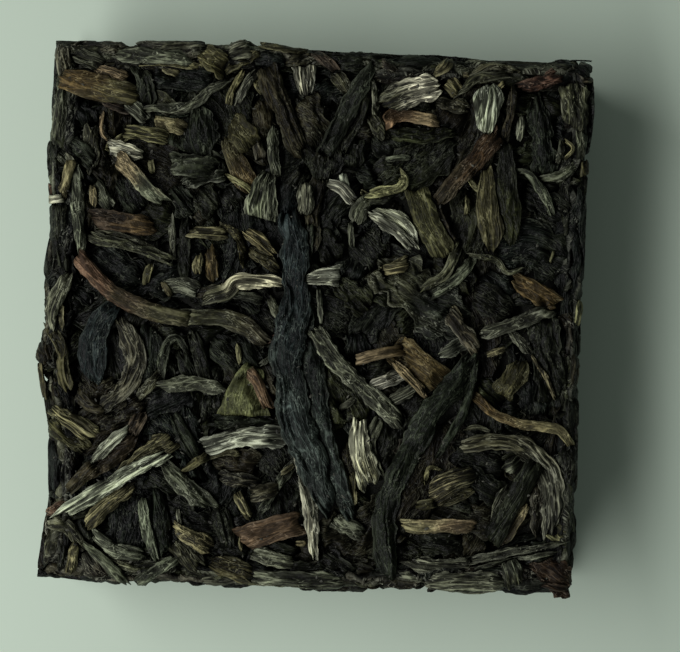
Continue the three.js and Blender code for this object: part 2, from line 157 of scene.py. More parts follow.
def centre_line(path, step, rng):
    """Points along the leaf, how far along each one is, and the direction to its left."""
    knots = np.array(path, float).reshape(-1, 2)
    padded = np.vstack([2 * knots[0] - knots[1], knots, 2 * knots[-1] - knots[-2]])
    share = np.linspace(0, 1, CURVE_STEPS, endpoint=False)[:, None]
    parts = []
    for n in range(len(knots) - 1):
        before, start, end, after = padded[n:n + 4]
        bend = 2 * before - 5 * start + 4 * end - after
        twist = 3 * start - before - 3 * end + after
        parts.append(start + 0.5 * ((end - before) * share + bend * share**2 + twist * share**3))
    line = np.vstack([*parts, knots[-1:]])
    run = np.concatenate([[0], np.cumsum(np.hypot(*np.diff(line, axis=0).T))])
    along = np.linspace(0, run[-1], max(6, int(run[-1] / step) + 2))
    line = np.stack([np.interp(along, run, line[:, 0]), np.interp(along, run, line[:, 1])], 1)
    heading = np.gradient(line, axis=0)
    heading /= np.hypot(*heading.T)[:, None]
    left = np.stack([-heading[:, 1], heading[:, 0]], 1)
    sway = wander(rng, along, 3.5, 0.14) + wander(rng, along, 1.2, 0.05)
    return line + left * sway[:, None], along, left


# %% [markdown]
# Forms of leaf.
# A rolled leaf is an arch with its edges tucked under, a blade lies nearly flat, a sheet is
# a wide crumpled piece, a flat leaf and a spoon are smooth, a bud is a fat pleated spindle,
# a fan, a shell and a wedge open towards their end, a stem is round and a chip is a flat splinter.
# They differ only in a few numbers, so one function can shape them all:
# arch is how far the edges fall as a share of the width, round is how square the arch is,
# tips are the least and most width of an end, taper is how far from the end it narrows,
# wrinkle is the spacing and height of the fine wrinkles, pleat is how regular they are,
# folds and fold are the number and height of the creases, crumple is the height of the
# cross creases, torn and ragged are how uneven the ends and the edges are, rim is the
# thickness, lined is how strongly fine lines show, and grain how much they are drawn out.

# %% Forms
FORMS = {
    "roll": dict(arch=0.20, round=2.6, tips=(0.35, 0.95), taper=(0.05, 0.3), wrinkle=(0.42, 0.13), pleat=0.2,
                 folds=5, fold=0.26, crumple=0.08, torn=1.7, ragged=0.20, rim=0.45, lined=0.75, grain=0.6),
    "long": dict(arch=0.16, round=2.4, tips=(0.3, 0.8), taper=(0.08, 0.35), wrinkle=(0.80, 0.06), pleat=0.0,
                 folds=5, fold=0.40, crumple=0.14, torn=1.6, ragged=0.16, rim=0.45, lined=0.4, grain=0.7),
    "blade": dict(arch=0.05, round=2.0, tips=(0.4, 0.95), taper=(0.06, 0.3), wrinkle=(0.55, 0.08), pleat=0.0,
                  folds=6, fold=0.24, crumple=0.10, torn=1.6, ragged=0.22, rim=0.35, lined=0.4, grain=0.7),
    "flat": dict(arch=0.05, round=3.0, tips=(0.7, 0.95), taper=(0.05, 0.15), wrinkle=(0.9, 0.04), pleat=0.0,
                 folds=3, fold=0.12, crumple=0.07, torn=1.0, ragged=0.12, rim=0.40, lined=0.42, grain=0.6),
    "spoon": dict(arch=0.07, round=2.4, tips=(0.3, 1.0), taper=(0.05, 0.2), wrinkle=(0.8, 0.05), pleat=0.0,
                  folds=3, fold=0.16, crumple=0.08, torn=0.8, ragged=0.10, rim=0.40, lined=0.36, grain=0.6),
    "sheet": dict(arch=0.03, round=2.0, tips=(0.4, 0.9), taper=(0.1, 0.3), wrinkle=(0.60, 0.09), pleat=0.0,
                  folds=7, fold=0.30, crumple=0.20, torn=2.4, ragged=0.30, rim=0.35, lined=0.35, grain=0.7),
    "bud": dict(arch=0.20, round=2.4, tips=(0.35, 0.85), taper=(0.1, 0.4), wrinkle=(0.52, 0.20), pleat=0.6,
                folds=4, fold=0.18, crumple=0.03, torn=1.8, ragged=0.20, rim=0.45, lined=1.0, grain=0.3),
    "fan": dict(arch=0.06, round=2.0, tips=(0.8, 0.9), taper=(0.1, 0.2), wrinkle=(0.50, 0.22), pleat=0.6,
                folds=4, fold=0.22, crumple=0.05, torn=1.1, ragged=0.10, rim=0.40, lined=1.0, grain=0.3),
    "shell": dict(arch=0.10, round=2.2, tips=(0.3, 1.0), taper=(0.1, 0.2), wrinkle=(0.85, 0.18), pleat=0.5,
                  folds=3, fold=0.16, crumple=0.03, torn=0.4, ragged=0.06, rim=0.40, lined=0.8, grain=0.3),
    "wedge": dict(arch=0.04, round=3.0, tips=(0.9, 1.0), taper=(0.05, 0.1), wrinkle=(0.9, 0.03), pleat=0.0,
                  folds=3, fold=0.10, crumple=0.04, torn=0.8, ragged=0.06, rim=0.40, lined=0.15, grain=0.8),
    "stem": dict(arch=0.26, round=3.0, tips=(0.75, 0.95), taper=(0.04, 0.1), wrinkle=(0.32, 0.07), pleat=0.2,
                 folds=4, fold=0.16, crumple=0.06, torn=0.8, ragged=0.10, rim=0.5, lined=0.4, grain=0.5),
    "chip": dict(arch=0.04, round=3.0, tips=(0.9, 1.0), taper=(0.04, 0.1), wrinkle=(0.45, 0.10), pleat=0.3,
                 folds=4, fold=0.12, crumple=0.04, torn=1.0, ragged=0.06, rim=0.40, lined=0.3, grain=0.4),
}
FAN_START = 0.35
END_DROOP = 0.55
DROOP_REACH = 1.2
LEAST_TILT = 0.1
MOST_TILT = 0.5


def angular(rng, where, step, amount):
    """A random line of straight stretches, each about step millimetres long."""
    count = int(where[-1] / step) + 3
    knots = np.linspace(-step, where[-1] + step, count) + rng.uniform(-0.3, 0.3, count) * step
    return np.interp(where, knots, rng.uniform(-amount, amount, count))


def half_width(rng, kind, width, along):
    """Half the width of the leaf at each place along it, with its own narrowing at each end."""
    form = FORMS[kind]
    share = along / along[-1]
    if kind in ("fan", "wedge", "shell", "spoon"):
        closing = np.sqrt(np.clip((1 - share) / 0.3, 0.04, 1)) if kind in ("shell", "spoon") else 1
        return width / 2 * (FAN_START + (1 - FAN_START) * share**0.8) * closing
    first, last = rng.uniform(*form["tips"], 2)
    from_start = first + (1 - first) * np.clip(share / rng.uniform(*form["taper"]), 0, 1) ** 0.8
    from_end = last + (1 - last) * np.clip((1 - share) / rng.uniform(*form["taper"]), 0, 1) ** 0.8
    return width / 2 * from_start * from_end


def ragged_edge(rng, along, amount):
    """A share of the width that wanders along one edge, in long, short and very short stretches."""
    slow = angular(rng, along, 3.0, amount * 1.5)
    return 1 + slow + angular(rng, along, 1.3, amount) + angular(rng, along, 0.45, amount * 0.8)


def creases(rng, u, along, count, height):
    """Straight facets that meet in creases, which shift slowly along the leaf."""
    knots = np.sort(rng.uniform(-1, 1, count))
    knots = np.concatenate([[-1.3], knots, [1.3]])
    levels = np.stack([wander(rng, along, rng.uniform(1.4, 4.0), height) for _ in knots], 1)
    shifted = np.clip(u + wander(rng, along, 3.0, 0.35)[:, None], -1.29, 1.29)
    cell = np.clip(np.searchsorted(knots, shifted) - 1, 0, count)
    share = (shifted - knots[cell]) / (knots[cell + 1] - knots[cell] + 1e-6)
    rows = np.arange(len(along))[:, None]
    return levels[rows, cell] * (1 - share) + levels[rows, cell + 1] * share


def ridge_lines(rng, across, along, wide, long):
    """Meandering crests: 1 on the line where a random sheet crosses zero, falling off beside it."""
    return 1 - np.abs(blotches(rng, across, along, wide, long))


def wrinkles(rng, u, across, along, width, form):
    """Fine lengthwise wrinkles, 0 in the valleys and 1 on the crests."""
    pitch = form["wrinkle"][0]
    lean = rng.uniform(-0.10, 0.10) * along + wander(rng, along[:, 0], 2.2, 0.35)[:, None]
    shifted = across + lean + 0.18 * blotches(rng, across, along, 0.9, 1.6)
    coarse = ridge_lines(rng, shifted, along, 1.7 * pitch, 3.4)
    fine = ridge_lines(rng, shifted, along, 0.85 * pitch, 1.5)
    crest = (0.7 * coarse**5 + 0.6 * fine**5) * (0.75 + 0.6 * blotches(rng, across, along, 0.8, 1.3))
    if form["pleat"]:
        drift = 0.45 * blotches(rng, across, along, 1.1, 1.8) + 0.2 * blotches(rng, across, along, 0.4, 0.9)
        wave = 0.5 + 0.5 * np.cos(2 * np.pi * (u * width / pitch / 2 + drift + lean))
        strength = 0.55 + 0.6 * blotches(rng, across, along, 0.45, 1.2)
        crest = crest * (1 - form["pleat"]) + form["pleat"] * wave**0.9 * strength
    return np.clip(crest, 0, 1.2)


print("forms:", ", ".join(FORMS))

# %% [markdown]
# Stacking the leaves.
# In the mould the leaves lie over and under each other without passing through. To get
# that without a simulation, the topmost leaf is laid first. Each face keeps a map of the
# height that the next leaf must stay under, and a new leaf is pushed down wherever it runs
# below one that is there already. A second map holds the height reached so far, which
# shows where gaps are still open.

# %% Faces of the mould
CELL = 0.15
PRESSED = 0.06
PRESS_SOFT = 0.18
TUCK = 0.04
MARGIN = 1.2
MARGIN_SLOPE = 0.8
FINE = 0.12


class MouldFace:
    """One face of the mould, with a map of the ceiling and a map of the height reached."""

    def __init__(self, number, low, high, floor, place, loops=False):
        self.number = number
        self.low = np.array(low, float)
        self.high = np.array(high, float)
        self.shape = np.ceil((self.high - self.low) / CELL).astype(int) + 2
        self.ceiling = np.full(self.shape, PRESSED)
        self.reached = np.full(self.shape, floor)
        self.floor = floor
        self.place = place
        self.loops = loops
        self.laid = 0

    def cells(self, a, b):
        """The map cell under each point, as whole numbers and what is left over."""
        x = (a - self.low[0]) / CELL
        y = np.clip((b - self.low[1]) / CELL, 0, self.shape[1] - 2.001)
        if self.loops:
            x = np.mod(x, self.shape[0] - 2)
        x = np.clip(x, 0, self.shape[0] - 2.001)
        i = x.astype(int)
        j = y.astype(int)
        return i, j, x - i, y - j

    def read(self, grid, a, b):
        """The map's value at each point, blended between its four cells."""
        i, j, u, v = self.cells(a, b)
        near = grid[i, j] * (1 - u) + grid[i + 1, j] * u
        far = grid[i, j + 1] * (1 - u) + grid[i + 1, j + 1] * u
        return near * (1 - v) + far * v

    def lower(self, a, b, height):
        """Bring the ceiling down to an underside."""
        i, j, _, _ = self.cells(a, b)
        np.minimum.at(self.ceiling, (i, j), height)

    def raise_reached(self, a, b, height):
        """Note the height that a leaf's upper side reaches."""
        i, j, _, _ = self.cells(a, b)
        np.maximum.at(self.reached, (i, j), height)


# %% [markdown]
# The walls as one strip.
# The four walls are one band that runs round the brick, so that a leaf can turn a corner
# without a seam. The mould leaves the outline a little uneven, and the photograph shows
# by how much, so each side has a few offsets along it.

# %% Walls
CORNER = 1.5
EDGE_DROP = 0.7
EDGE_REACH = 1.3
WALL_LEAN = 0.45
FLAT = 2 * (SIDE_FACE - CORNER)
QUARTER = FLAT + CORNER * math.pi / 2
WALL_OFFSETS = {
    0: (-26, 0.2, -22, 0.6, -14, 0.3, -5, 0.3, 5, 0.3, 14, 0.3, 22, 0.7, 26, 0.5),
    1: (-26, 0.0, -23, -0.4, -17, -0.4, -12, -0.1, -8, -0.2, 2, 0.0, 8, 0.7, 14, 0.3, 20, 0.1, 26, 0.0),
    2: (-26, -0.2, -16, 0.2, -8, -0.4, -4, 0.2, 2, 0.0, 5, 0.6, 12, -0.9, 20, -1.1, 26, -0.3),
    3: (-26, 0.2, -19, 0.7, -10, 0.6, 0, 0.7, 8, 0.6, 14, 0.3, 21, 0.2, 26, 0.4),
}


def wall_offset(side, reach):
    """How far the outline stands out of the mould's face, at each place along a side."""
    shift = np.zeros_like(reach)
    for number, offsets in WALL_OFFSETS.items():
        line = np.interp(reach, offsets[0::2], offsets[1::2])
        shift = np.where(side == number, line, shift)
    return shift


def fold_over(a, b, h):
    """Keep points of a flat face inside the outline: what reaches past it bends down."""
    right = SIDE_FACE + wall_offset(0, b)
    back = SIDE_FACE + wall_offset(1, -a)
    left = SIDE_FACE + wall_offset(2, -b)
    front = SIDE_FACE + wall_offset(3, a)
    x = np.minimum(np.maximum(a, -left), right)
    y = np.minimum(np.maximum(b, -front), back)
    near = np.minimum(np.minimum(right - x, x + left), np.minimum(back - y, y + front))
    bevel = EDGE_DROP * np.clip(1 - near / EDGE_REACH, 0, 1) ** 2
    return x, y, h - bevel - 0.9 * (np.abs(a - x) + np.abs(b - y))


def upper_place(a, b, h):
    """From the top face to the brick."""
    x, y, level = fold_over(a, b, h)
    return np.stack([x, y, HEIGHT + level], -1)


def under_place(a, b, h):
    """From the underside, seen from below, to the brick."""
    x, y, level = fold_over(-a, b, h)
    return np.stack([x, y, -level], -1)


def wall_place(a, b, h):
    """From the strip round the walls to the brick: a runs round it, b up and h outwards."""
    level = np.clip(b, 0.12, HEIGHT - 0.9)
    folded = np.abs(b - level)
    h = h - folded - WALL_LEAN * np.clip((b - HEIGHT + 2.5) / 2.5, 0, 1) ** 2
    level = level - 0.6 * np.where(b > level, folded, 0)
    turn = np.mod(a, 4 * QUARTER)
    side = np.clip(np.floor(turn / QUARTER), 0, 3)
    reach = turn - side * QUARTER - QUARTER / 2
    flat = np.clip(reach, -FLAT / 2, FLAT / 2)
    bend = (reach - flat) / CORNER
    out = CORNER + h + wall_offset(side, reach)
    x = FLAT / 2 + np.cos(bend) * out
    y = flat + np.sin(bend) * out
    angle = side * math.pi / 2
    east = x * np.cos(angle) - y * np.sin(angle)
    north = x * np.sin(angle) + y * np.cos(angle)
    return np.stack([east, north, level], -1)


edge = SIDE_FACE + 0.6
upper_face = MouldFace(1, (-edge, -edge), (edge, edge), -TOP_GAP - 0.4, upper_place)
wall_face = MouldFace(2, (0, 0), (4 * QUARTER, HEIGHT), -SIDE_GAP - 0.4, wall_place, loops=True)
under_face = MouldFace(3, (-edge, -edge), (edge, edge), -UNDER_GAP - 0.3, under_place)
print("wall strip", round(4 * QUARTER, 1), "mm long")

# %% [markdown]
# Pressing one leaf.
# The leaf is a sheet of points: rows across it, one every step along its centre line. The
# height of each point adds up the arch, the creases, the pleats and a fine crinkle, and
# the ends droop into the mass. Then the mould presses it: no point may stand above the
# face, or above what lies over it. Three points below each row close it to a solid.
# Beside its place, each point keeps its tone, with painted shade that darkens it with depth
# and on its underside, how pale its ridge is, partly real down and partly a painted highlight,
# and how far across and along the leaf it lies, for the fibres of the material.

# %% Press a leaf
ACROSS = 0.105
ALONG = 0.28
EDGE_HIGHLIGHT_WIDTH = 0.24
DEPTH_SHADE = 0.55
grown = {}


def spread_grid(values, rows, columns):
    """Resample a sheet of values to more rows and columns."""
    r = np.linspace(0, values.shape[0] - 1, rows)
    c = np.linspace(0, values.shape[1] - 1, columns)
    i = np.minimum(r.astype(int), values.shape[0] - 2)
    j = np.minimum(c.astype(int), values.shape[1] - 2)
    u = (r - i)[:, None]
    v = (c - j)[None, :]
    top = values[i][:, j] * (1 - v) + values[i][:, j + 1] * v
    low = values[i + 1][:, j] * (1 - v) + values[i + 1][:, j + 1] * v
    return top * (1 - u) + low * u


def press_leaf(face, row, number, piece=None, coarse=1.0):
    """Shape one leaf, press it under what already lies on the face, and store its mesh."""
    kind, width, depth, tone = row[:4]
    form = FORMS[kind]
    rng = np.random.default_rng([SEED, face.number, number])
    line, along, left = centre_line(row[4:], ALONG * coarse, rng)
    half = half_width(rng, kind, width, along)
    ragged = form["ragged"]
    left_half = half * ragged_edge(rng, along, ragged)
    right_half = half * ragged_edge(rng, along, ragged)
    columns = max(5, int(width / (ACROSS * coarse)) + 2)
    u = np.broadcast_to(np.linspace(-1, 1, columns), (len(along), columns))
    across = np.where(u > 0, u * left_half[:, None], u * right_half[:, None])
    far = torn_ends(rng, along, u, min(form["torn"], along[-1] / 5))
    a = bend_along(far, along, line[:, 0]) + bend_along(far, along, left[:, 0]) * across
    b = bend_along(far, along, line[:, 1]) + bend_along(far, along, left[:, 1]) * across
    crest = wrinkles(rng, u, across, far, width, form)
    height = -depth - form["arch"] * 2 * half[:, None] * np.abs(u) ** form["round"]
    height = height + creases(rng, u, along, form["folds"], form["fold"] * min(1.4, 0.4 + width / 3))
    height = height + (crest - 0.5) * form["wrinkle"][1] * 2.6
    height = height + (ridge_lines(rng, across, far, 1.3, 1.9) - 0.6) * form["crumple"]
    height = height + 0.055 * blotches(rng, across, far, 0.3, 0.4)
    height = height + wander(rng, along, 4.5, 0.12)[:, None]
    steepness = rng.uniform(LEAST_TILT, MOST_TILT)
    gone = along / along[-1]
    tilt = steepness * (gone if rng.uniform() < 0.5 else 1 - gone)
    from_end = np.minimum(along, along[-1] - along)
    droop = np.clip(1 - from_end / DROOP_REACH, 0, 1) ** 2 * END_DROOP
    height = height - (droop + tilt)[:, None]
    over = height - (PRESSED - PRESS_SOFT)
    pressed = PRESSED - PRESS_SOFT * np.exp(-np.clip(over, 0, None) / PRESS_SOFT)
    height = np.where(over > 0, pressed, height)
    height = np.minimum(height, face.read(face.ceiling, a, b) - TUCK)
    height = np.maximum(height, face.floor - 0.3)
    deepest = height.min(1)
    rim = form["rim"]
    under = np.stack([height[:, -1] - rim, deepest - rim, height[:, 0] - rim], 1)
    mark_leaf(face, line, left, left_half, right_half, height, under)
    from_edge = (1 - np.abs(u)) * half[:, None]
    piece = piece or TONES[tone.split("/")[0]][4]
    store_leaf(face, piece, tone, rng, (a, b, height), under, across, far, crest, from_edge, form)
    face.laid += 1


def torn_ends(rng, along, u, torn):
    """How far along each point lies, when both ends are cut slanting and ragged."""
    across = np.linspace(0, 1, u.shape[1])
    start = rng.uniform(-0.5, 0.5) * torn * (across - 0.5) * 2 + wander(rng, across, 0.22, torn * 0.35)
    end = rng.uniform(-0.5, 0.5) * torn * (across - 0.5) * 2 + wander(rng, across, 0.22, torn * 0.35)
    share = (along / along[-1])[:, None]
    return along[:, None] + start[None, :] * (1 - share) ** 2 + end[None, :] * share**2


def bend_along(far, along, values):
    """The value of a line at places that may lie a little past its ends."""
    held = np.clip(far, 0, along[-1])
    inside = np.interp(held, along, values)
    first = (values[1] - values[0]) / (along[1] - along[0])
    last = (values[-1] - values[-2]) / (along[-1] - along[-2])
    return inside + np.minimum(far, 0) * first + np.maximum(far - along[-1], 0) * last


def mark_leaf(face, line, left, left_half, right_half, height, under):
    """Note on the face's maps where the leaf lies, with a sloping margin beside it."""
    length = np.hypot(*np.diff(line, axis=0).T).sum()
    rows = max(4, int(length / FINE) + 2)
    columns = max(4, int((left_half.max() + right_half.max()) / FINE) + 2)
    centre = spread_grid(line, rows, 2)
    side = spread_grid(left, rows, 2)
    reach_left = spread_grid(np.stack([left_half, left_half], 1), rows, 2)[:, :1]
    reach_right = spread_grid(np.stack([right_half, right_half], 1), rows, 2)[:, :1]
    u = np.linspace(-1, 1, columns)[None, :]
    across = np.where(u > 0, u * reach_left, u * reach_right)
    a = centre[:, :1] + side[:, :1] * across
    b = centre[:, 1:] + side[:, 1:] * across
    face.raise_reached(a, b, spread_grid(height, rows, columns))
    face.lower(a, b, spread_grid(under[:, ::-1], rows, columns))
    beyond = np.arange(FINE, MARGIN, FINE)[None, :]
    for sign, reach, level in ((1, reach_left, under[:, 0]), (-1, reach_right, under[:, 2])):
        out = sign * (reach + beyond)
        edge_level = spread_grid(np.stack([level, level], 1), rows, 2)[:, :1]
        slope = edge_level + beyond * MARGIN_SLOPE
        face.lower(centre[:, :1] + side[:, :1] * out, centre[:, 1:] + side[:, 1:] * out, slope)


def mixed_tone(tone, share):
    """Colour and down of a leaf that goes from one tone to another, such as "tan/dun"."""
    first, last = TONES[tone.split("/")[0]], TONES[tone.split("/")[-1]]
    share = blend(np.clip(share * 1.6 - 0.3, 0, 1))
    colour = linear(*first[:3]) * (1 - share)[:, :, None] + linear(*last[:3]) * share[:, :, None]
    return colour, first[3] * (1 - share) + last[3] * share


def store_leaf(face, piece, tone, rng, top, under, across, far, crest, from_edge, form):
    """Add the leaf's points, faces and colours to the piece that it belongs to."""
    a, b, height = top
    rows, columns = a.shape
    middle = columns // 2
    ring_a = np.concatenate([a, a[:, [-1, middle, 0]]], 1)
    ring_b = np.concatenate([b, b[:, [-1, middle, 0]]], 1)
    ring_h = np.concatenate([height, under], 1)
    points = face.place(ring_a, ring_b, ring_h).reshape(-1, 3)
    size = columns + 3
    i = np.arange(rows - 1)[:, None] * size
    k = np.arange(size)[None, :]
    following = (k + 1) % size
    first, second = i + k, i + size + k
    third, fourth = i + size + following, i + following
    sheet = np.concatenate([np.stack([first, second, third], -1).reshape(-1, 3),
                            np.stack([first, third, fourth], -1).reshape(-1, 3)])
    hub = columns + 1
    rim = np.array([n for n in range(size) if n not in (hub, hub - 1)])
    start = np.stack([np.full(len(rim), hub), rim, (rim + 1) % size], 1)
    last = (rows - 1) * size
    finish = np.stack([np.full(len(rim), hub), (rim + 1) % size, rim], 1) + last
    triangles = np.concatenate([sheet, start, finish])
    share = far / far.max() + 0.2 * blotches(rng, across, far, 0.7, 1.5)
    base = mixed_tone(tone, share)[0] * rng.uniform(0.85, 1.15) * (1 + rng.uniform(-0.05, 0.05, 3))
    patch = 1 + 0.28 * blotches(rng, across, far, 1.4, 4.0) + 0.14 * blotches(rng, across, far, 0.5, 0.9)
    # Painted shade by depth: a leaf lying deeper under the face gets darker, down to a quarter of its tone,
    # and one right at the face up to 15 % lighter.
    painted_depth_shade = np.clip(1.15 + DEPTH_SHADE * height, 0.25, 1.15)
    colour = (patch * painted_depth_shade)[:, :, None] * base
    # The three points under each row take half the tone: painted shade on the leaf's underside and rim.
    colour = np.concatenate([colour, base[:, :3] * 0.5], 1)
    lined = form["lined"] * rng.uniform(0.75, 1.25)
    streaks = 1 + 0.7 * blotches(rng, across, far, 1.1, 3.0)
    # The pale on the ridges is partly the real down and partly a painted highlight on the crests.
    down_and_highlight = mixed_tone(tone, share)[1] * streaks * min(1, lined * 1.3)
    pale = np.concatenate([np.clip(down_and_highlight * crest, 0, 1), np.zeros((rows, 3))], 1)
    # A pale line along each leaf's edges, broken in places: a painted highlight on the rim.
    broken = np.clip(0.45 + 1.1 * blotches(rng, across, far, 1.1, 1.3), 0, 1)
    edge = np.clip(1 - from_edge / EDGE_HIGHLIGHT_WIDTH, 0, 1) * broken * np.clip(down_and_highlight + 0.5, 0, 1)
    edge = np.concatenate([edge, np.zeros((rows, 3))], 1)
    shift = rng.uniform(0, 60, 2)
    side = np.concatenate([across, across[:, [-1, middle, 0]]], 1) + shift[0]
    length = (np.concatenate([far, far[:, :3]], 1) + shift[1]) * form["grain"]
    store = grown.setdefault(piece, dict(points=[], triangles=[], tone=[], pale=[], edge=[],
                                          lined=[], fibre=[], count=0))
    store["triangles"].append(triangles + store["count"])
    store["points"].append(points)
    store["tone"].append(colour.reshape(-1, 3))
    store["pale"].append(pale.reshape(-1))
    store["edge"].append(edge.reshape(-1))
    store["lined"].append(np.full(edge.size, min(lined, 1)))
    store["fibre"].append(np.stack([side, length], -1).reshape(-1, 2))
    store["count"] += len(points)


# %% [markdown]
# The leaves that show.
# Each row is one leaf of the top face: its form, its width and its depth below the face in
# millimetres, its tone, and then the points that it runs through, x and y from the middle
# of the brick. The long dark leaves come first, because they give the brick its look, then
# the paler ones and the stems.

# %% Long dark leaves
LONG_DARK_LEAVES = [
    ("long", 2.0, 0.7, "coal/blue", -0.9, 15.3, -2.4, 13.2, -3.0, 10.0),
    ("long", 3.2, 0.0, "blue/steel", -2.7, 10.5, -1.9, 5.5, -1.7, 0.5, -2.1, -5, -1.2, -10,
     0.9, -15, 2.7, -19.6),
    ("long", 2.0, 0.2, "ink/steel", -0.6, 1.0, 0.2, -4, 1.0, -9, 2.4, -13.5, 3.7, -17, 5.0, -20),
    ("long", 2.7, 0.1, "slate", 16.6, -3.2, 14, -7.5, 11.2, -11.5, 9.2, -16, 8.3, -20.5, 8.9, -26.6),
    ("long", 0.8, 0.0, "slate", 17, -3.8, 16.3, -7, 15.4, -10, 13.4, -13.5),
    ("long", 1.9, 0.2, "slate", 5.6, 26, 3.6, 22.4, 0.8, 16.6),
    ("long", 1.3, 0.4, "coal", 5.4, 25.4, 4.0, 20.6, 2.7, 17),
    ("long", 2.3, 0.1, "umber", -5.4, 25, -3.7, 21, -1.5, 17),
    ("long", 1.3, 0.5, "coal", -13.4, 9.6, -13, 3.4),
    ("long", 1.5, 0.4, "coal", -12.2, -2.2, -11, -5, -10.2, -8.4),
    ("long", 2.0, 0.6, "slate", -9.6, -10.7, -2.6, -10.5),
    ("long", 2.0, 0.5, "slate", -15.4, -18.6, -14.6, -21.5, -14.2, -24.6),
    ("long", 2.2, 0.4, "ash", -14.6, -15.2, -12, -17.6, -9.4, -19.6),
    ("long", 1.6, 0.3, "slate", -13.8, -10.4, -12.4, -12.8, -11, -15.2),
    ("long", 1.9, 0.5, "coal", -8.8, -19.8, -7.4, -23.8),
    ("long", 2.0, 0.6, "umber", -25.5, -23.2, -25.2, -26.9),
    ("long", 1.8, 0.7, "coal", -26.1, 10.8, -26, 7.2, -25.4, 3.4),
    ("long", 1.5, 0.9, "coal", -27, 7, -26.6, 2.2),
]
print(len(LONG_DARK_LEAVES), "long dark leaves")

# %% Dark blades
DARK_BLADES = [
    ("sheet", 5.2, 0.8, "dun/slate", 6.4, 5.6, 11, 2.6, 15.6, 0.4),
    ("sheet", 4.6, 0.7, "ink/coal", 18.6, 7.4, 22, 7.8, 25.6, 6.4),
    ("sheet", 4.4, 0.6, "umber/coal", -2.6, 20.6, 0.4, 17.8, 0.6, 14.2),
    ("sheet", 4.2, 0.9, "coal/moss", 13.6, 19.2, 10.2, 15.6, 6.4, 13.6),
    ("sheet", 4.6, 0.8, "slate/umber", -9.6, -2.4, -6.4, -5.4, -4.2, -9),
    ("blade", 5.0, 0.5, "slate", -12.4, 21.2, -11.6, 16),
    ("blade", 2.4, 0.7, "ash", -15, 15.3, -10.2, 15.2),
    ("blade", 1.5, 0.8, "ash", -13.6, 13, -11.6, 13.8, -9.3, 14.2),
    ("spoon", 3.6, 0.2, "blue", -19.4, 1.6, -21.4, -1.4, -21.9, -3.6, -21.6, -7.4),
    ("blade", 3.4, 0.7, "umber", -23.4, -7.6, -21.4, -9.2, -19.2, -7.8),
    ("blade", 2.2, 0.5, "slate", -16.3, -1.5, -16, -7.3),
    ("blade", 2.4, 0.6, "umber", -6.2, 21.6, -5.3, 18.2),
    ("blade", 2.7, 0.7, "slate", -7.2, -2, -5.2, -5.2),
    ("blade", 2.0, 0.4, "slate", -18.9, 25.1, -17.6, 23.2, -17.3, 21),
    ("blade", 2.4, 0.8, "ink", -17.2, 24.2, -11, 24),
    ("blade", 3.2, 1.2, "ink", -21.8, 6, -17.2, 3.4),
    ("blade", 2.1, 0.3, "coal", 0.8, 26, 6.2, 26),
    ("blade", 1.9, 0.4, "ink", -6.6, 26.2, -3.2, 25.9),
    ("blade", 2.4, 1.1, "ink", -25.4, -13.6, -25.4, -18.8),
    ("blade", 4.0, 1.1, "ink", -17.9, -18.6, -18.2, -24.4),
    ("blade", 2.6, 0.5, "coal", 23.6, 1, 24, -3, 25, -7.4),
    ("blade", 3.0, 0.8, "slate", 22, 23.2, 22.7, 19.5, 23.2, 15.4),
    ("blade", 3.0, 0.8, "moss", 5.4, 4.4, 8.8, 1.6),
    ("blade", 3.2, 0.7, "moss", 2.4, 3.6, 5.6, 1),
    ("blade", 2.6, 0.8, "coal", 16.6, 2.8, 20.4, 1.2),
    ("blade", 2.2, 0.7, "slate", 22.8, -23.6, 27, -22.2),
]
print(len(DARK_BLADES), "dark blades")

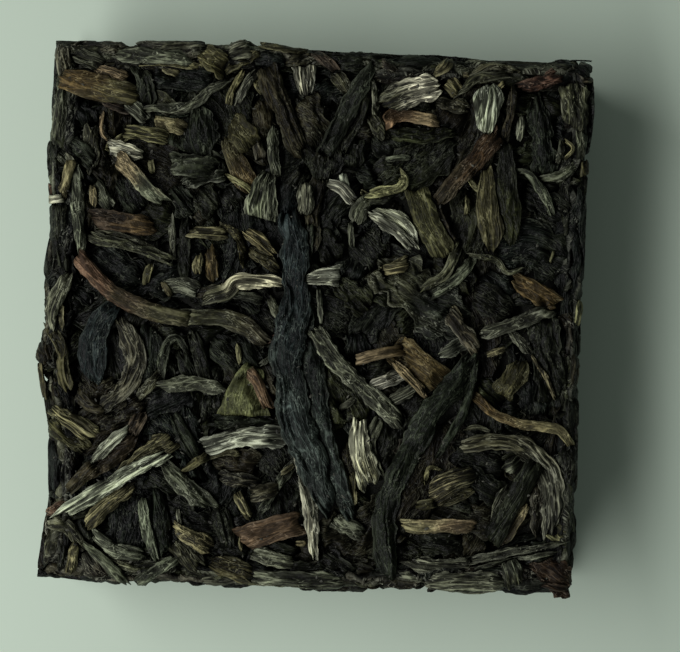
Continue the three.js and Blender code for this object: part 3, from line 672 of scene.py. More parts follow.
# %% Grey rolled leaves
GREY_LEAVES = [
    ("roll", 1.9, 0.1, "pewter", 0.3, -1.4, 2.6, -4.2, 5.6, -7, 9.6, -10.6),
    ("roll", 1.9, 0.3, "taupe", -19.8, -0.6, -17.9, -4, -18.3, -7, -20.8, -9.9),
    ("roll", 1.3, 0.2, "pewter", -15.2, -7.6, -11.5, -7.2, -8.4, -7.6),
    ("roll", 1.5, 0.2, "pewter", -24.8, 15, -24.1, 10, -23.7, 5.8),
    ("roll", 1.9, 0.5, "slate", -25.4, 16.6, -22.8, 14.6),
    ("roll", 2.0, 0.4, "ash", -22.2, 13, -20.6, 10.4),
    ("roll", 2.4, 0.6, "slate", -20, 13.6, -17.6, 10.4),
    ("roll", 1.6, 0.5, "dun", -23.2, 18.8, -22.9, 14.2),
    ("roll", 1.5, 0.2, "pewter", -20.6, 26, -17, 25.9, -13.2, 25.5),
    ("roll", 1.5, 0.5, "taupe", -25.4, 26.3, -19.2, 26.8),
    ("roll", 1.5, 0.3, "ash", -18.8, 26.7, -11.8, 27.2),
    ("roll", 1.0, 0.3, "ash", -17.6, 20.4, -13.4, 20.9, -11, 22.8, -9.4, 23.6),
    ("roll", 1.5, 0.4, "ash", -26.1, 22.4, -26.4, 17),
    ("roll", 2.0, 0.4, "ash", -25, 25.9, -22.2, 24.6),
    ("roll", 1.3, 0.2, "ash", -4.4, 19.2, -4.3, 16.5, -3.7, 14.2),
    ("roll", 1.3, 0.3, "ash", 4.0, 9.6, 5.0, 11.9, 8.2, 12.8),
    ("roll", 1.9, 0.6, "umber", 0.6, 15, -0.4, 10, -0.5, 5.8),
    ("roll", 1.2, 0.3, "ash", 12.2, 2.6, 14.8, 4.8, 16.2, 6.8),
    ("roll", 1.6, 0.0, "taupe", 13.7, 0.9, 15.4, -0.9, 17, -2.7),
    ("roll", 1.3, 0.1, "ash", 17.4, -0.9, 20.6, 0.3, 24.2, 1.5),
    ("bud", 2.1, 0.1, "dun/pewter", 16, -12.4, 19, -11.9, 22.2, -12.4, 24.4, -14.6, 25.0, -17.5, 25.0, -21),
    ("roll", 1.9, 0.6, "taupe", 23.9, -15.6, 24.1, -21.2),
    ("roll", 0.8, 0.1, "ash", 17, -24.2, 21, -23, 26, -22),
    ("bud", 1.7, 0.3, "pewter/ash", 10.4, -24.4, 15, -24.8, 19.8, -24.4),
    ("bud", 2.2, 0.2, "pewter", 12.6, -26.4, 20.4, -26.2),
    ("roll", 2.2, 0.4, "pewter/taupe", -22.2, -24.6, -20, -27),
    ("roll", 1.3, 0.2, "pewter", -21.2, -22.8, -19, -24.4, -16.2, -24.8),
    ("roll", 1.0, 0.0, "pewter", -16.4, -19.2, -15.9, -22, -14.9, -25.2),
    ("roll", 1.4, 0.2, "pewter", -13, -24.8, -16.9, -27.6),
    ("roll", 1.1, 0.4, "ash", -4.6, -20.2, -2.2, -16.4, -1.2, -14.8),
    ("roll", 3.0, 0.3, "dun", 25.7, 24.6, 26, 20),
    ("roll", 1.1, 0.3, "ash", 27, 20, 26.6, 17, 24.8, 15.2, 22.8, 14.8),
    ("roll", 1.5, 0.2, "pewter", -15.3, 2.7, -13.2, 2.9, -11.6, 2.2),
]
print(len(GREY_LEAVES), "grey leaves")

# %% Pale buds
PALE_BUDS = [
    ("bud", 2.5, 0.0, "dun/cream", 6.3, 21.9, 9.2, 23.1, 12.2, 23.9),
    ("shell", 4.0, 0.0, "silver/pewter", 16.7, 19.4, 17, 21.6, 17.3, 24.2),
    ("fan", 2.8, 0.2, "silver", -1.2, 22.6, -1.5, 24, -1.7, 25.4),
    ("fan", 3.8, 0.1, "pewter", -4.7, 14.4, -5.2, 12, -5.5, 9.8),
    ("bud", 1.7, 0.2, "pewter", -1.1, 13.5, -1.2, 10.4),
    ("bud", 1.3, 0.0, "silver", 5.5, 10.4, 8, 9.1, 10, 7.4),
    ("bud", 1.3, 0.0, "silver", 6.4, 11.2, 9.2, 9.8, 10.6, 7.6),
    ("bud", 1.6, 0.0, "dun/cream", -11, 1.5, -8.8, 2.4, -7.6, 3.5, -3.1, 3.2),
    ("bud", 2.0, 0.0, "silver", -10.4, -13.6, -6.4, -12.3, -1.1, -12.3),
    ("bud", 1.6, 0.0, "silver", -0.5, -15, 0.3, -18, 1, -21, 1.1, -24.1),
    ("bud", 1.5, 0.0, "silver", -14.2, -14.2, -18, -16.8, -24.6, -20.9),
    ("bud", 2.3, 0.1, "straw", -13.5, -12.9, -16, -14.6, -18.8, -16.8),
    ("bud", 1.5, 0.2, "straw", -17.4, -17.8, -19.8, -19.9, -22, -22),
    ("bud", 2.3, 0.1, "straw", -25.9, -10.2, -23.8, -11.4, -21.6, -12.9),
    ("fan", 2.4, 0.0, "silver", -0.9, 3.7, 1.0, 4.1, 2.9, 4.3),
    ("bud", 2.0, 0.0, "cream/straw", 5.2, -10.4, 5.4, -13.4, 6.6, -17),
    ("bud", 1.2, 0.2, "pewter", 7.2, -10.2, 6.4, -12.6, 7.6, -15.8),
    ("bud", 1.6, 0.2, "silver", 6.4, -7, 10.6, -5.3),
    ("bud", 1.5, 0.2, "straw", -7, 8.4, -4, 6.2),
    ("bud", 1.7, 0.1, "silver", -21.2, 16.6, -17.7, 15.8),
    ("bud", 2.1, 0.0, "pewter", -9.4, 26.5, -7.2, 27.2),
]
print(len(PALE_BUDS), "pale buds")

# %% Olive and amber leaves
OLIVE_LEAVES = [
    ("flat", 2.8, 0.1, "amber/olive", -26.2, 23.5, -23, 22.6, -18.6, 22.0),
    ("blade", 2.4, 0.3, "olive", -8.7, 19.6, -6.6, 17.1),
    ("spoon", 3.2, 0.4, "olive/amber", -9.4, 17.8, -7.4, 14.4, -6.2, 12.4),
    ("blade", 2.4, 0.2, "olive", -11.9, 26.5, -9.5, 25.2),
    ("roll", 1.5, 0.3, "moss", 7, 19, 10.5, 18.7, 14.2, 19.2),
    ("flat", 2.2, 0.2, "bark/amber", -22.6, 9.3, -16.4, 8.6),
    ("roll", 1.2, 0.2, "dun", -22.6, 7.4, -18.6, 6.4, -14.5, 5),
    ("blade", 2.1, 0.1, "olive", 21.3, -3.5, 19.7, -7.2),
    ("flat", 1.0, 0.1, "amber/straw", 16.6, -7, 19, -9.1, 22, -10.1, 25.4, -10.5, 27, -12.2),
    ("spoon", 2.9, 0.0, "olive", 17.2, 15.6, 17.5, 12, 17.9, 7.4),
    ("spoon", 3.2, 0.1, "coal/moss", 19.2, 18.4, 19.6, 12, 20.0, 8.0),
    ("flat", 2.4, 0.1, "olive", 10.2, 13.3, 11.4, 10, 13.2, 6.8),
    ("roll", 1.3, 0.3, "umber", 11.5, 12.8, 13.9, 7.4),
    ("blade", 1.9, 0.3, "amber", 20.3, 4.6, 25, 2.1),
    ("bud", 2.6, 0.1, "straw/dun", 12.8, -17.4, 15, -16.2, 17.4, -15.4),
    ("roll", 1.8, 0.2, "straw", -13, -21.6, -9.4, -24),
    ("roll", 2.1, 0.4, "dun", -12.8, -23.4, -10, -26.2),
    ("roll", 2.1, 0.3, "olive", -9.4, -25.2, -5, -26.4),
    ("roll", 1.3, 0.2, "olive", -26.4, -2.1, -25, -4.2, -24.9, -6.4, -24.4, -8.4),
    ("roll", 1.4, 0.1, "pewter", -24.6, 3.4, -25.6, 1.6, -26.4, -0.4, -26.2, -2.2),
    ("roll", 2.2, 0.3, "olive", -26.3, -11.6, -22.3, -14.4),
    ("roll", 2.1, 0.4, "straw", 25, -19.8, 26.8, -21.4),
    ("wedge", 5.4, 0.2, "sage", -5.4, -5.2, -6.2, -7.6, -6.4, -10.2),
]
print(len(OLIVE_LEAVES), "olive and amber leaves")

# %% Stems and chips
BROWN_STEMS = [
    ("flat", 2.1, 0.0, "russet/umber", 18.2, 19.3, 12.4, 12.0),
    ("flat", 1.4, 0.0, "copper/tan", 6.8, 19.7, 8.2, 20.8, 12.2, 20.3),
    ("flat", 1.7, 0.0, "tan/pewter", -20.2, 15.4, -15.4, 11.0),
    ("stem", 1.7, 0.0, "chestnut/dun", -24, 5.2, -20.9, 2.2, -16.8, 0.3, -12.4, -0.9),
    ("stem", 1.8, 0.1, "dun/taupe", -13.4, -0.5, -10.4, -0.4, -7.6, -0.8, -4.3, -2.7),
    ("roll", 1.1, 0.1, "brick", 20, 24.1, 22.2, 24.6, 24.6, 25.1),
    ("roll", 1.2, 0.2, "umber", 19.6, 24.2, 19.3, 21, 18.9, 18.6),
    ("spoon", 3.0, 0.2, "umber/bark", -24.2, -18.6, -21.4, -15.8, -17.4, -12.8),
    ("stem", 1.2, 0.0, "chestnut", -6, -5.6, -5, -7, -3.9, -9.2),
    ("chip", 2.5, 0.0, "chestnut", -6.2, -22.7, -0.2, -20.9),
    ("sheet", 3.6, 0.3, "russet", 23.2, -24.4, 25.2, -25.4, 27.4, -26.6),
    ("roll", 2.4, 0.2, "umber", -27, -3.4, -26.5, -5.4),
    ("stem", 1.2, 0.0, "tan/amber", 4.7, -4.0, 6.8, -3.5, 9.6, -3.0),
    ("flat", 3.4, 0.1, "amber", 8.2, -3.0, 10.8, -4.2, 13.6, -6.4),
    ("stem", 2.0, 0.0, "coal", 23.3, -13.8, 21.2, -17.9, 19.1, -22),
    ("flat", 1.5, 0.1, "straw/tan", 9.9, -20.8, 17.4, -20.7),
    ("roll", 1.1, 0.1, "straw", -25.2, 15, -25.6, 11.2),
]
print(len(BROWN_STEMS), "stems and chips")

# %% Small leaves
SMALL_LEAVES = [
    ("roll", 1.1, 0.2, "chestnut", -24, -19.5, -26, -21),
    ("roll", 1.1, 0.3, "pewter", 20.2, -0.9, 22.4, -2.8),
    ("bud", 1.1, 0.1, "silver", 1.3, 13.6, 2.6, 13.2, 4, 11.9),
    ("bud", 1.4, 0.3, "pewter", 22.3, -13.2, 20.2, -14.8),
    ("roll", 1.1, 0.2, "straw", -23.1, -23.8, -23.4, -27.2),
    ("bud", 1.5, 0.2, "straw", 7.2, 5.1, 9.7, 5.6),
    ("roll", 1.2, 0.2, "tan", -22.6, 24.4, -19.5, 23.5),
    ("roll", 1.5, 0.2, "bark", -16.8, -10.3, -18.2, -12.6),
    ("bud", 1.2, 0.2, "straw", -12.6, 8.2, -9, 8),
    ("bud", 1.6, 0.3, "pewter", -19.6, 20.9, -17.4, 19.4),
    ("roll", 1.1, 0.4, "dun", -17.3, -9, -14.8, -5.6),
    ("bud", 1.5, 0.1, "silver", 13.2, -3.4, 15.9, -2),
    ("blade", 1.4, 0.3, "straw", -16.6, 19.2, -13.4, 18.5),
    ("blade", 1.9, 0.4, "dun", -16.7, 21.9, -14.8, 20.3),
    ("roll", 1.6, 0.4, "dun", 5.4, 21, 6.9, 18.4),
    ("roll", 1.3, 0.3, "olive", -6.6, 6.6, -3.6, 4.5),
    ("roll", 1.6, 0.3, "taupe", -5.5, -18.1, -2.6, -17.4),
    ("roll", 1.4, 0.3, "amber", -10.5, 6.8, -10.2, 3.3),
    ("roll", 0.8, 0.2, "ash", 20.2, 15.6, 21.4, 15.4, 22.6, 13.8, 24.2, 11.2),
    ("bud", 1.0, 0.1, "silver", -18.2, -12, -21.8, -15.4),
    ("roll", 1.5, 0.3, "bark", -22.2, 21.5, -18.9, 20.6),
    ("roll", 1.3, 0.2, "olive", -9.8, 24.8, -6.3, 26.6),
    ("bud", 2.4, 0.2, "pewter/dun", 21.0, -23.9, 22.0, -26.6),
    ("roll", 1.0, 0.1, "dun", 14.2, 23.4, 16, 24.8, 19.2, 25.2),
    ("roll", 0.8, 0.1, "dun", 15.4, 25.2, 17.4, 26.1, 20.2, 25.7),
    ("roll", 1.7, 0.4, "dun", 12, 22.2, 15.2, 21.8),
    ("roll", 1.2, 0.2, "dun", -25.9, -21.8, -24, -22.2, -22.4, -24.4),
    ("roll", 1.0, 0.1, "olive", 11.5, -18.6, 14.4, -18.3, 17, -17),
    ("bud", 1.5, 0.3, "pewter", 8, -8.4, 11.3, -6.3),
    ("roll", 1.5, 0.3, "taupe", -26.3, 26.8, -26, 23.8),
    ("roll", 1.0, 0.1, "ash", -22.2, -24, -20, -25.6, -17.7, -27.8),
    ("roll", 1.0, 0.1, "straw", 5.2, 12.9, 8.2, 13.2, 9.1, 14.2, 8.5, 15),
    ("roll", 1.0, 0.2, "olive", -12.4, -15.7, -9.4, -14.2, -6.6, -13.9),
    ("bud", 1.6, 0.2, "straw", 12.9, 24.4, 14.3, 23.2),
    ("roll", 0.9, 0.3, "ash", -14.9, -6.6, -14.8, -3.6, -13.6, -2.4, -12.4, -3.9),
    ("roll", 1.0, 0.1, "dun", 11, 3.2, 13.4, 4.9, 14.7, 7.7),
    ("roll", 1.9, 0.8, "pewter", 3, -20.5, 6.1, -22),
    ("bud", 1.3, 0.2, "straw", -19.6, 18.2, -15.2, 17.6),
    ("stem", 0.8, 0.0, "silver", -27.5, 10.9, -25.6, 11.1),
]
print(len(SMALL_LEAVES), "small leaves")

# %% [markdown]
# Scraps between the leaves.
# Broken tips, torn edges and thin strips fill the places between the larger leaves. They
# are what makes the surface look like real tea and not like a pile of equal sticks.

# %% Scraps in the top half
TOP_SCRAPS = [
    ("roll", 1.0, 0.2, "straw", -18, 25.2, -15, 25.1, -12.2, 24.8),
    ("roll", 0.9, 0.3, "straw", -16, 24.8, -14.3, 24.3),
    ("roll", 0.5, 0.3, "tan", -22, 20, -21.9, 18, -21.4, 17.3),
    ("roll", 1.0, 0.4, "straw", -21.4, 16.2, -19.4, 17.5),
    ("roll", 0.6, 0.3, "straw", -16.8, 15.3, -16.7, 14),
    ("roll", 0.8, 0.4, "slate", -16.5, 19.6, -13, 20.3),
    ("roll", 0.5, 0.2, "silver", -25.4, 15.8, -23.8, 13.3),
    ("sheet", 2.2, 0.6, "coal", -26.5, 16.8, -26.6, 12.6),
    ("roll", 1.2, 0.3, "chestnut", -27.2, 12.6, -27, 11.4),
    ("roll", 0.6, 0.3, "straw", -22.6, 12.5, -22.3, 10.3),
    ("sheet", 2.8, 0.6, "slate", -14.5, 12.5, -12.5, 10),
    ("sheet", 2.3, 0.5, "coal", -12, 12.3, -10, 10.5),
    ("sheet", 2.9, 1.2, "ink", -24.6, 20.9, -23.6, 18.8),
    ("roll", 0.8, 0.2, "olive", -6.2, 27.3, -1.5, 27.1),
    ("roll", 1.2, 0.3, "umber", -3.4, 26, -0.8, 26.6),
    ("roll", 1.0, 0.2, "bark", -0.7, 26.9, 1.8, 25.1),
    ("bud", 0.9, 0.2, "pewter", -6.4, 24.8, -7.5, 23, -8.3, 21.3),
    ("roll", 0.7, 0.3, "straw", -7.8, 24.8, -8.7, 22.8, -9, 21.2),
    ("roll", 0.7, 0.2, "straw", -6.8, 24.7, -5.9, 22.5),
    ("roll", 1.2, 0.8, "coal", -2.4, 22.2, -0.9, 21, 1.2, 21.2),
    ("blade", 1.6, 0.5, "dun", 1.7, 24.9, 2.9, 23),
    ("roll", 0.9, 0.3, "taupe", 5.3, 26.4, 7.9, 24.9),
    ("roll", 0.7, 0.2, "pewter", 5.4, 24.6, 6, 20.9),
    ("roll", 1.4, 0.5, "taupe", -6.1, 18.1, -5.7, 15.9),
    ("roll", 0.5, 0.2, "straw", -9, 14, -7, 13, -6.2, 12.3),
    ("roll", 0.7, 0.2, "silver", 2.7, 14.6, 3, 13),
    ("roll", 0.7, 0.3, "straw", 4.6, 13, 5.5, 12.6),
    ("sheet", 3.1, 0.9, "slate", 5.9, 19, 9.4, 16.6),
    ("sheet", 3.4, 1.0, "slate", 4.8, 16, 8.4, 14.4),
    ("sheet", 2.2, 0.9, "coal", 3.5, 18.5, 3.6, 15.5),
    ("roll", 0.6, 0.5, "ash", 7, 16.2, 9.5, 16.6),
    ("sheet", 3.1, 0.9, "coal", -9, 13, -7.6, 11.3),
    ("roll", 0.6, 0.4, "ash", -9, 16.5, -8.6, 14.5),
    ("roll", 1.0, 0.5, "umber", -7.8, 17, -5, 15.2),
    ("roll", 1.0, 0.2, "straw", 12.9, 26.9, 12.5, 26, 11.4, 25.2),
    ("roll", 0.6, 0.2, "straw", 14.5, 25, 15.3, 24.9),
    ("roll", 0.6, 0.2, "straw", 18.3, 23.8, 19, 24.6),
    ("roll", 0.8, 0.2, "brick", 22.9, 25.2, 23.9, 26),
    ("bud", 0.7, 0.2, "pewter", 20.5, 21.1, 20.4, 18.6),
    ("roll", 0.6, 0.2, "ash", 24.6, 19, 24.6, 17.8, 24.4, 16.6),
    ("roll", 0.5, 0.1, "straw", 25.1, 18.8, 25.8, 18, 25.1, 17),
    ("roll", 0.6, 0.1, "straw", 15.4, 14.9, 16, 13.7, 16.9, 13.4, 17.1, 14.6),
    ("roll", 0.5, 0.3, "straw", 15.5, 12.8, 15.4, 11),
    ("sheet", 4.0, 1.0, "coal", 10.4, 16.8, 14, 15.6),
    ("sheet", 3.4, 1.0, "coal", 21, 13.5, 25.6, 10.6),
    ("roll", 1.0, 0.2, "olive", 27.2, 17, 27.2, 15.4),
    # These two dark sheets along the right edge stand in for the shade where that edge falls away: painted
    # shade.
    ("sheet", 2.0, 0.6, "ink", 27.0, 13.6, 27.1, 8, 26.9, 3.6),
    ("sheet", 2.0, 0.6, "coal", 26.8, -7.4, 26.8, -12, 26.6, -17),
]
print(len(TOP_SCRAPS), "scraps in the top half")

# %% Scraps in the middle
MIDDLE_SCRAPS = [
    ("sheet", 2.5, 0.9, "coal", -26, 8, -25.3, 3.5),
    ("roll", 0.6, 0.3, "dun", -22, 8, -18, 7.2, -15.5, 6),
    ("roll", 0.9, 0.4, "straw", -16.5, 4.8, -16.8, 2.7),
    ("roll", 0.6, 0.2, "straw", -25.3, 0.5, -25.2, -2.3),
    ("sheet", 2.5, 1.4, "ink", -24, 2, -22.5, 0.5),
    ("roll", 1.2, 0.9, "coal", -23.2, -7.6, -21.2, -9.2, -19.2, -8),
    ("roll", 1.2, 0.6, "slate", -13.2, -3.8, -12, -6.4),
    ("roll", 1.0, 0.6, "coal", -14.1, -3.8, -13.8, -6.6),
    ("bud", 1.0, 0.1, "straw", -11.7, 5.9, -11.6, 4),
    ("roll", 0.7, 0.3, "ash", -14.7, 9.5, -14.2, 5),
    ("roll", 0.6, 0.1, "straw", -15.2, 2.9, -14.3, 1.6),
    ("roll", 1.2, 0.5, "umber", -11.6, 1.9, -9.2, 2.6),
    ("roll", 0.9, 0.2, "straw", -27.5, -5.8, -26.8, -9.2),
    ("roll", 1.1, 0.5, "umber", -26, -7, -25.5, -9),
    ("roll", 1.2, 0.5, "ash", -8.2, 2, -5, 1.5),
    ("roll", 1.2, 0.7, "slate", -7, 1.8, -5.5, 0.2),
    ("roll", 0.9, 0.4, "pewter", -4.3, 1.8, -3.2, -0.3),
    ("roll", 0.8, 0.2, "brick", -4.4, -2.7, -3.3, -2.1),
    ("roll", 0.5, 0.3, "straw", -7.3, -3, -7, -5),
    ("roll", 0.5, 0.4, "pewter", -5, -5, -3, -3.5),
    ("roll", 0.8, 0.3, "olive", -9.8, 9, -8, 8, -7, 5.4),
    ("roll", 1.1, 0.5, "slate", -0.5, 9.4, -0.5, 5.8),
    ("sheet", 3.1, 0.9, "coal", 0.6, 8.8, 2.4, 5.8),
    ("roll", 0.7, 0.4, "pewter", 3.6, 9.8, 3.9, 7.4),
    ("roll", 0.8, 0.3, "pewter", 0.6, 2.8, 0.9, -0.6),
    ("sheet", 3.4, 1.0, "coal", 4.6, 8.4, 7.4, 5.8),
    ("roll", 0.8, 0.4, "straw", 7, 5.2, 9.6, 6.4),
    ("sheet", 2.2, 0.7, "coal", 5.8, -5.5, 9, -4.6),
    ("sheet", 2.5, 1.0, "ink", 4.2, -1.5, 4.6, -3.8),
    ("roll", 1.0, 0.5, "ash", 3.3, -9.3, 4.8, -8.2),
    ("roll", 0.5, 0.2, "dun", 16, 6.8, 18.4, 6.6, 19.8, 5.3, 21.6, 6),
    ("sheet", 3.7, 0.9, "coal", 20.6, 8.4, 23, 6.2),
    ("roll", 0.3, 0.2, "straw", 24.3, 7.7, 24, 6.5),
    ("roll", 0.8, 0.2, "straw", 14.3, 1.6, 15, 0),
    ("roll", 0.6, 0.2, "straw", 18, -3.3, 19.8, -2.6),
    ("roll", 0.4, 0.2, "straw", 22.5, -3, 23.9, -5.2, 25.2, -7.5),
    ("sheet", 2.8, 0.9, "ink", 22.3, -3.6, 22.9, -9),
    ("sheet", 2.5, 0.8, "moss", 17.4, -6.2, 19.6, -8.2),
    ("roll", 0.7, 0.2, "straw", 27.2, 2.6, 26.9, 0.2),
    ("bud", 1.3, 0.0, "coal", 23.9, 26.9, 25.4, 26.8),
    ("bud", 1.2, 0.0, "ink", 26.2, 26.6, 27.3, 25.6),
    ("roll", 0.7, 0.1, "umber", 26.4, 25.2, 27.8, 25.1),
    ("roll", 1.6, 0.3, "ink", 27.4, 24.6, 27.6, 21.4, 27.4, 18.6),
    ("roll", 0.8, 0.3, "umber", 26.9, -2.8, 26.9, -5.8),
    ("roll", 1.0, 0.0, "tan", 8.8, -4.2, 10.4, -5.8, 12.0, -7.3),
    ("sheet", 2.8, 0.9, "moss", 11, 1.5, 13, -0.5),
    ("sheet", 3.1, 1.0, "moss", 12, 5.5, 15.5, 2.5),
    ("sheet", 2.5, 0.9, "ink", 18, 5.5, 20.5, 3.4),
]
print(len(MIDDLE_SCRAPS), "scraps in the middle")

# %% Scraps in the bottom half
BOTTOM_SCRAPS = [
    ("roll", 0.9, 0.4, "moss", -18.5, -18.2, -21, -19.8, -23.5, -21),
    ("roll", 0.3, 0.2, "silver", -25.8, -21, -26.1, -23),
    ("roll", 1.0, 0.5, "coal", -24.4, -23.4, -24.2, -27.2),
    ("sheet", 2.4, 0.9, "umber", -26.4, -19.4, -26.6, -22.4, -26.9, -26.6),
    ("bud", 1.6, 0.3, "pewter", -10.4, -26.8, -5.6, -26.6),
    ("bud", 1.7, 0.3, "pewter/ash", -4.8, -26.7, -0.4, -26.9, 4.0, -26.8),
    ("roll", 1.4, 0.4, "dun", -19.6, -25, -16.4, -26.2),
    ("roll", 0.5, 0.3, "pewter", -12.6, -20, -12.5, -21.6),
    ("sheet", 2.5, 0.5, "ink", -12.4, -9.6, -11.2, -13.8),
    ("sheet", 2.8, 0.8, "coal", -16, -17, -13, -18.5),
    ("roll", 1.0, 0.2, "straw", 4.6, -15.8, 5, -18.8),
    ("roll", 1.2, 0.5, "umber", 4.3, -12.5, 4.3, -17),
    ("roll", 0.6, 0.2, "straw", -2.5, -16, -1.3, -15),
    ("roll", 1.0, 0.3, "straw", -6.9, -18, -5.4, -20.6),
    ("roll", 0.4, 0.1, "straw", -6.2, -21.8, -6.3, -23.8),
    ("roll", 1.6, 0.4, "pewter", -5, -24.5, -1, -25),
    ("roll", 0.6, 0.2, "straw", -0.7, -23, 0.3, -22.9),
    ("sheet", 2.8, 0.7, "umber", -9.4, -14.6, -5, -15.4),
    ("roll", 1.6, 0.6, "taupe", -8.6, -16.6, -4.6, -17),
    ("sheet", 2.8, 0.7, "coal", -1.8, -25.8, 2.4, -26.2),
    ("sheet", 2.5, 0.7, "coal", 2, -24.4, 5.2, -26),
    ("roll", 0.6, 0.2, "dun", 16, -11, 17.2, -10.6, 18.5, -11),
    ("roll", 0.8, 0.3, "olive", 20.2, -15, 21.3, -15.8),
    ("bud", 1.3, 0.2, "pewter", 20.7, -16.6, 18.9, -19.8),
    ("flat", 1.2, 0.2, "straw/taupe", 22.4, -18.2, 21.3, -20.4, 20.0, -22.6),
    ("roll", 0.5, 0.1, "straw", 12.3, -16.5, 12.5, -14.8, 13.8, -15),
    ("roll", 1.0, 0.5, "coal", 14.5, -18.5, 17, -19),
    ("sheet", 2.9, 0.9, "coal", 12, -22.4, 16.3, -22.3),
    ("roll", 0.5, 0.2, "ash", 17.2, -24.9, 21.2, -23.8, 26, -22.9),
    ("bud", 1.4, 0.3, "pewter", 6.4, -26.6, 10.5, -25.8, 14, -26.0),
    ("roll", 0.8, 0.2, "russet", 24.6, -26.4, 27, -26.6),
    ("roll", 0.2, 0.2, "straw", 21.8, -22.3, 22.2, -23.2),
]
print(len(BOTTOM_SCRAPS), "scraps in the bottom half")

# %% Lay the leaves of the top face
top_rows = [*LONG_DARK_LEAVES, *DARK_BLADES, *GREY_LEAVES, *PALE_BUDS, *OLIVE_LEAVES, *BROWN_STEMS]
top_rows = [*top_rows, *SMALL_LEAVES, *TOP_SCRAPS, *MIDDLE_SCRAPS, *BOTTOM_SCRAPS]
order = sorted(range(len(top_rows)), key=lambda n: top_rows[n][2])
for n in order:
    press_leaf(upper_face, top_rows[n], n)
print(upper_face.laid, "leaves placed on the top face")

# %% [markdown]
# Closing the rim.
# From straight above, the joint between the top face and the walls must not let the ground
# show. A chain of dark scraps runs along each edge, just inside the outline, and goes under
# every leaf that is there already.

# %% Rim
RIM_STEP = 9
RIM_COUNT = 6
RIM_SPACING = 8.4
RIM_START = -25.8
RIM_WIDTH = 2.6
RIM_DEPTH = 1.3
RIM_INSET = 1.6
RIM_TONES = ["coal", "umber", "slate", "ink", "moss"]


def rim_path(side, start):
    """Three points just inside the outline, from one side's start and RIM_STEP along it."""
    path = []
    for reach in (start, start + RIM_STEP / 2, start + RIM_STEP):
        out = SIDE_FACE + float(wall_offset(side, np.array(reach))) - RIM_INSET
        angle = side * math.pi / 2
        x = math.cos(angle) * out - math.sin(angle) * reach
        y = math.sin(angle) * out + math.cos(angle) * reach
        path += [x, y]
    return path


for side in range(4):
    for n in range(RIM_COUNT):
        tone = RIM_TONES[(side + n) % len(RIM_TONES)]
        row = ("sheet", RIM_WIDTH, RIM_DEPTH, tone, *rim_path(side, RIM_SPACING * n + RIM_START))
        press_leaf(upper_face, row, 700 + 10 * side + n, "dark_leaves", 1.5)
print(upper_face.laid, "leaves with the rim")

# %% [markdown]
# Filling what is still open.
# Below the listed leaves lie many more that only show in part. A short
# search finds the deepest open spot of the face, and a dark leaf is laid there, until
# the gaps are few and narrow. The leaf goes under everything that is there already.

# %% Fill the gaps of a face
FILL_TONES = ["coal", "ink", "slate", "coal", "umber", "moss", "ink", "slate", "coal", "umber", "moss"]
TRIES = 50


def deepest_spot(face, rng):
    """The deepest of a handful of random spots, each taken over a small patch."""
    a = rng.uniform(face.low[0] + 0.7, face.high[0] - 0.7, TRIES)
    b = rng.uniform(face.low[1] + 0.7, face.high[1] - 0.7, TRIES)
    level = np.zeros(TRIES)
    for da, db in ((0, 0), (0.4, 0), (-0.4, 0), (0, 0.4), (0, -0.4)):
        level += face.read(face.reached, a + da, b + db) / 5
    best = int(np.argmin(level))
    return a[best], b[best], level[best]


def fill_gaps(face, piece, count, depths, widths, lengths, headings, coarse=1.0, form=None):
    """Lay count leaves where the face is deepest."""
    rng = np.random.default_rng([SEED, face.number, face.laid])
    for n in range(count):
        a, b, _ = deepest_spot(face, rng)
        heading = rng.uniform(*headings)
        reach = rng.uniform(*lengths) / 2
        bend = rng.uniform(-0.2, 0.2) * reach
        ends = []
        for share, out in ((-1, 0), (0, bend), (1, 0)):
            x = a + share * reach * math.cos(heading) - out * math.sin(heading)
            y = b + share * reach * math.sin(heading) + out * math.cos(heading)
            if not face.loops:
                x = min(max(x, face.low[0] + 0.3), face.high[0] - 0.3)
            y = min(max(y, face.low[1] + 0.5), face.high[1] - 0.5)
            ends += [x, y]
        kind = form or ("blade" if rng.uniform() < 0.3 else "roll")
        tone = FILL_TONES[int(rng.integers(len(FILL_TONES)))]
        row = (kind, rng.uniform(*widths), rng.uniform(*depths), tone, *ends)
        press_leaf(face, row, 1000 + face.laid, piece, coarse)


fill_gaps(upper_face, "under_leaves", 75, (0.6, 1.5), (2.6, 5.2), (6, 13), (0, math.pi), 1.25, "sheet")
fill_gaps(upper_face, "under_leaves", 75, (0.9, 2.2), (0.7, 1.9), (5, 12), (0, math.pi), 1.4)
print("top face: depth reached on average", round(float(-upper_face.reached.mean()), 2), "mm")

# %% [markdown]
# The walls.
# The mould's sides press leaves flat against them in long courses, one above the other.
# The rule that drew the courses of the solid model is repeated here number for number, so
# that both have their leaves in the same places, and smaller leaves fill the joints.

# %% The drawing rule shared with the solid model
LCG_SCALE = 1664525
LCG_STEP = 1013904223
LCG_SIZE = 2**32


class Draw:
    """Random numbers in the same order as the solid model draws them."""

    def __init__(self, seed):
        self.state = seed

    def __call__(self, low, high):
        self.state = (self.state * LCG_SCALE + LCG_STEP) % LCG_SIZE
        return low + (high - low) * self.state / LCG_SIZE


WALL_ROWS = [1.8, 4.9, 8.0, 11.1]
WALL_TONES = ["slate", "ash", "umber", "dun", "coal", "taupe", "olive", "slate", "pewter", "coal", "ash"]
SHADED_TONES = ["coal", "ink", "umber", "ink", "moss"]


def wall_course(draw, reach=26.9, shortest=13, longest=22, overlap=1.2):
    """Ends of the leaves of one course along a side."""
    course = []
    start = -reach
    while start < reach - 2 * overlap:
        drawn = start + draw(shortest, longest)
        end = reach if drawn > reach - shortest / 2 else drawn
        course.append((start, end))
        start = end - overlap
    return course


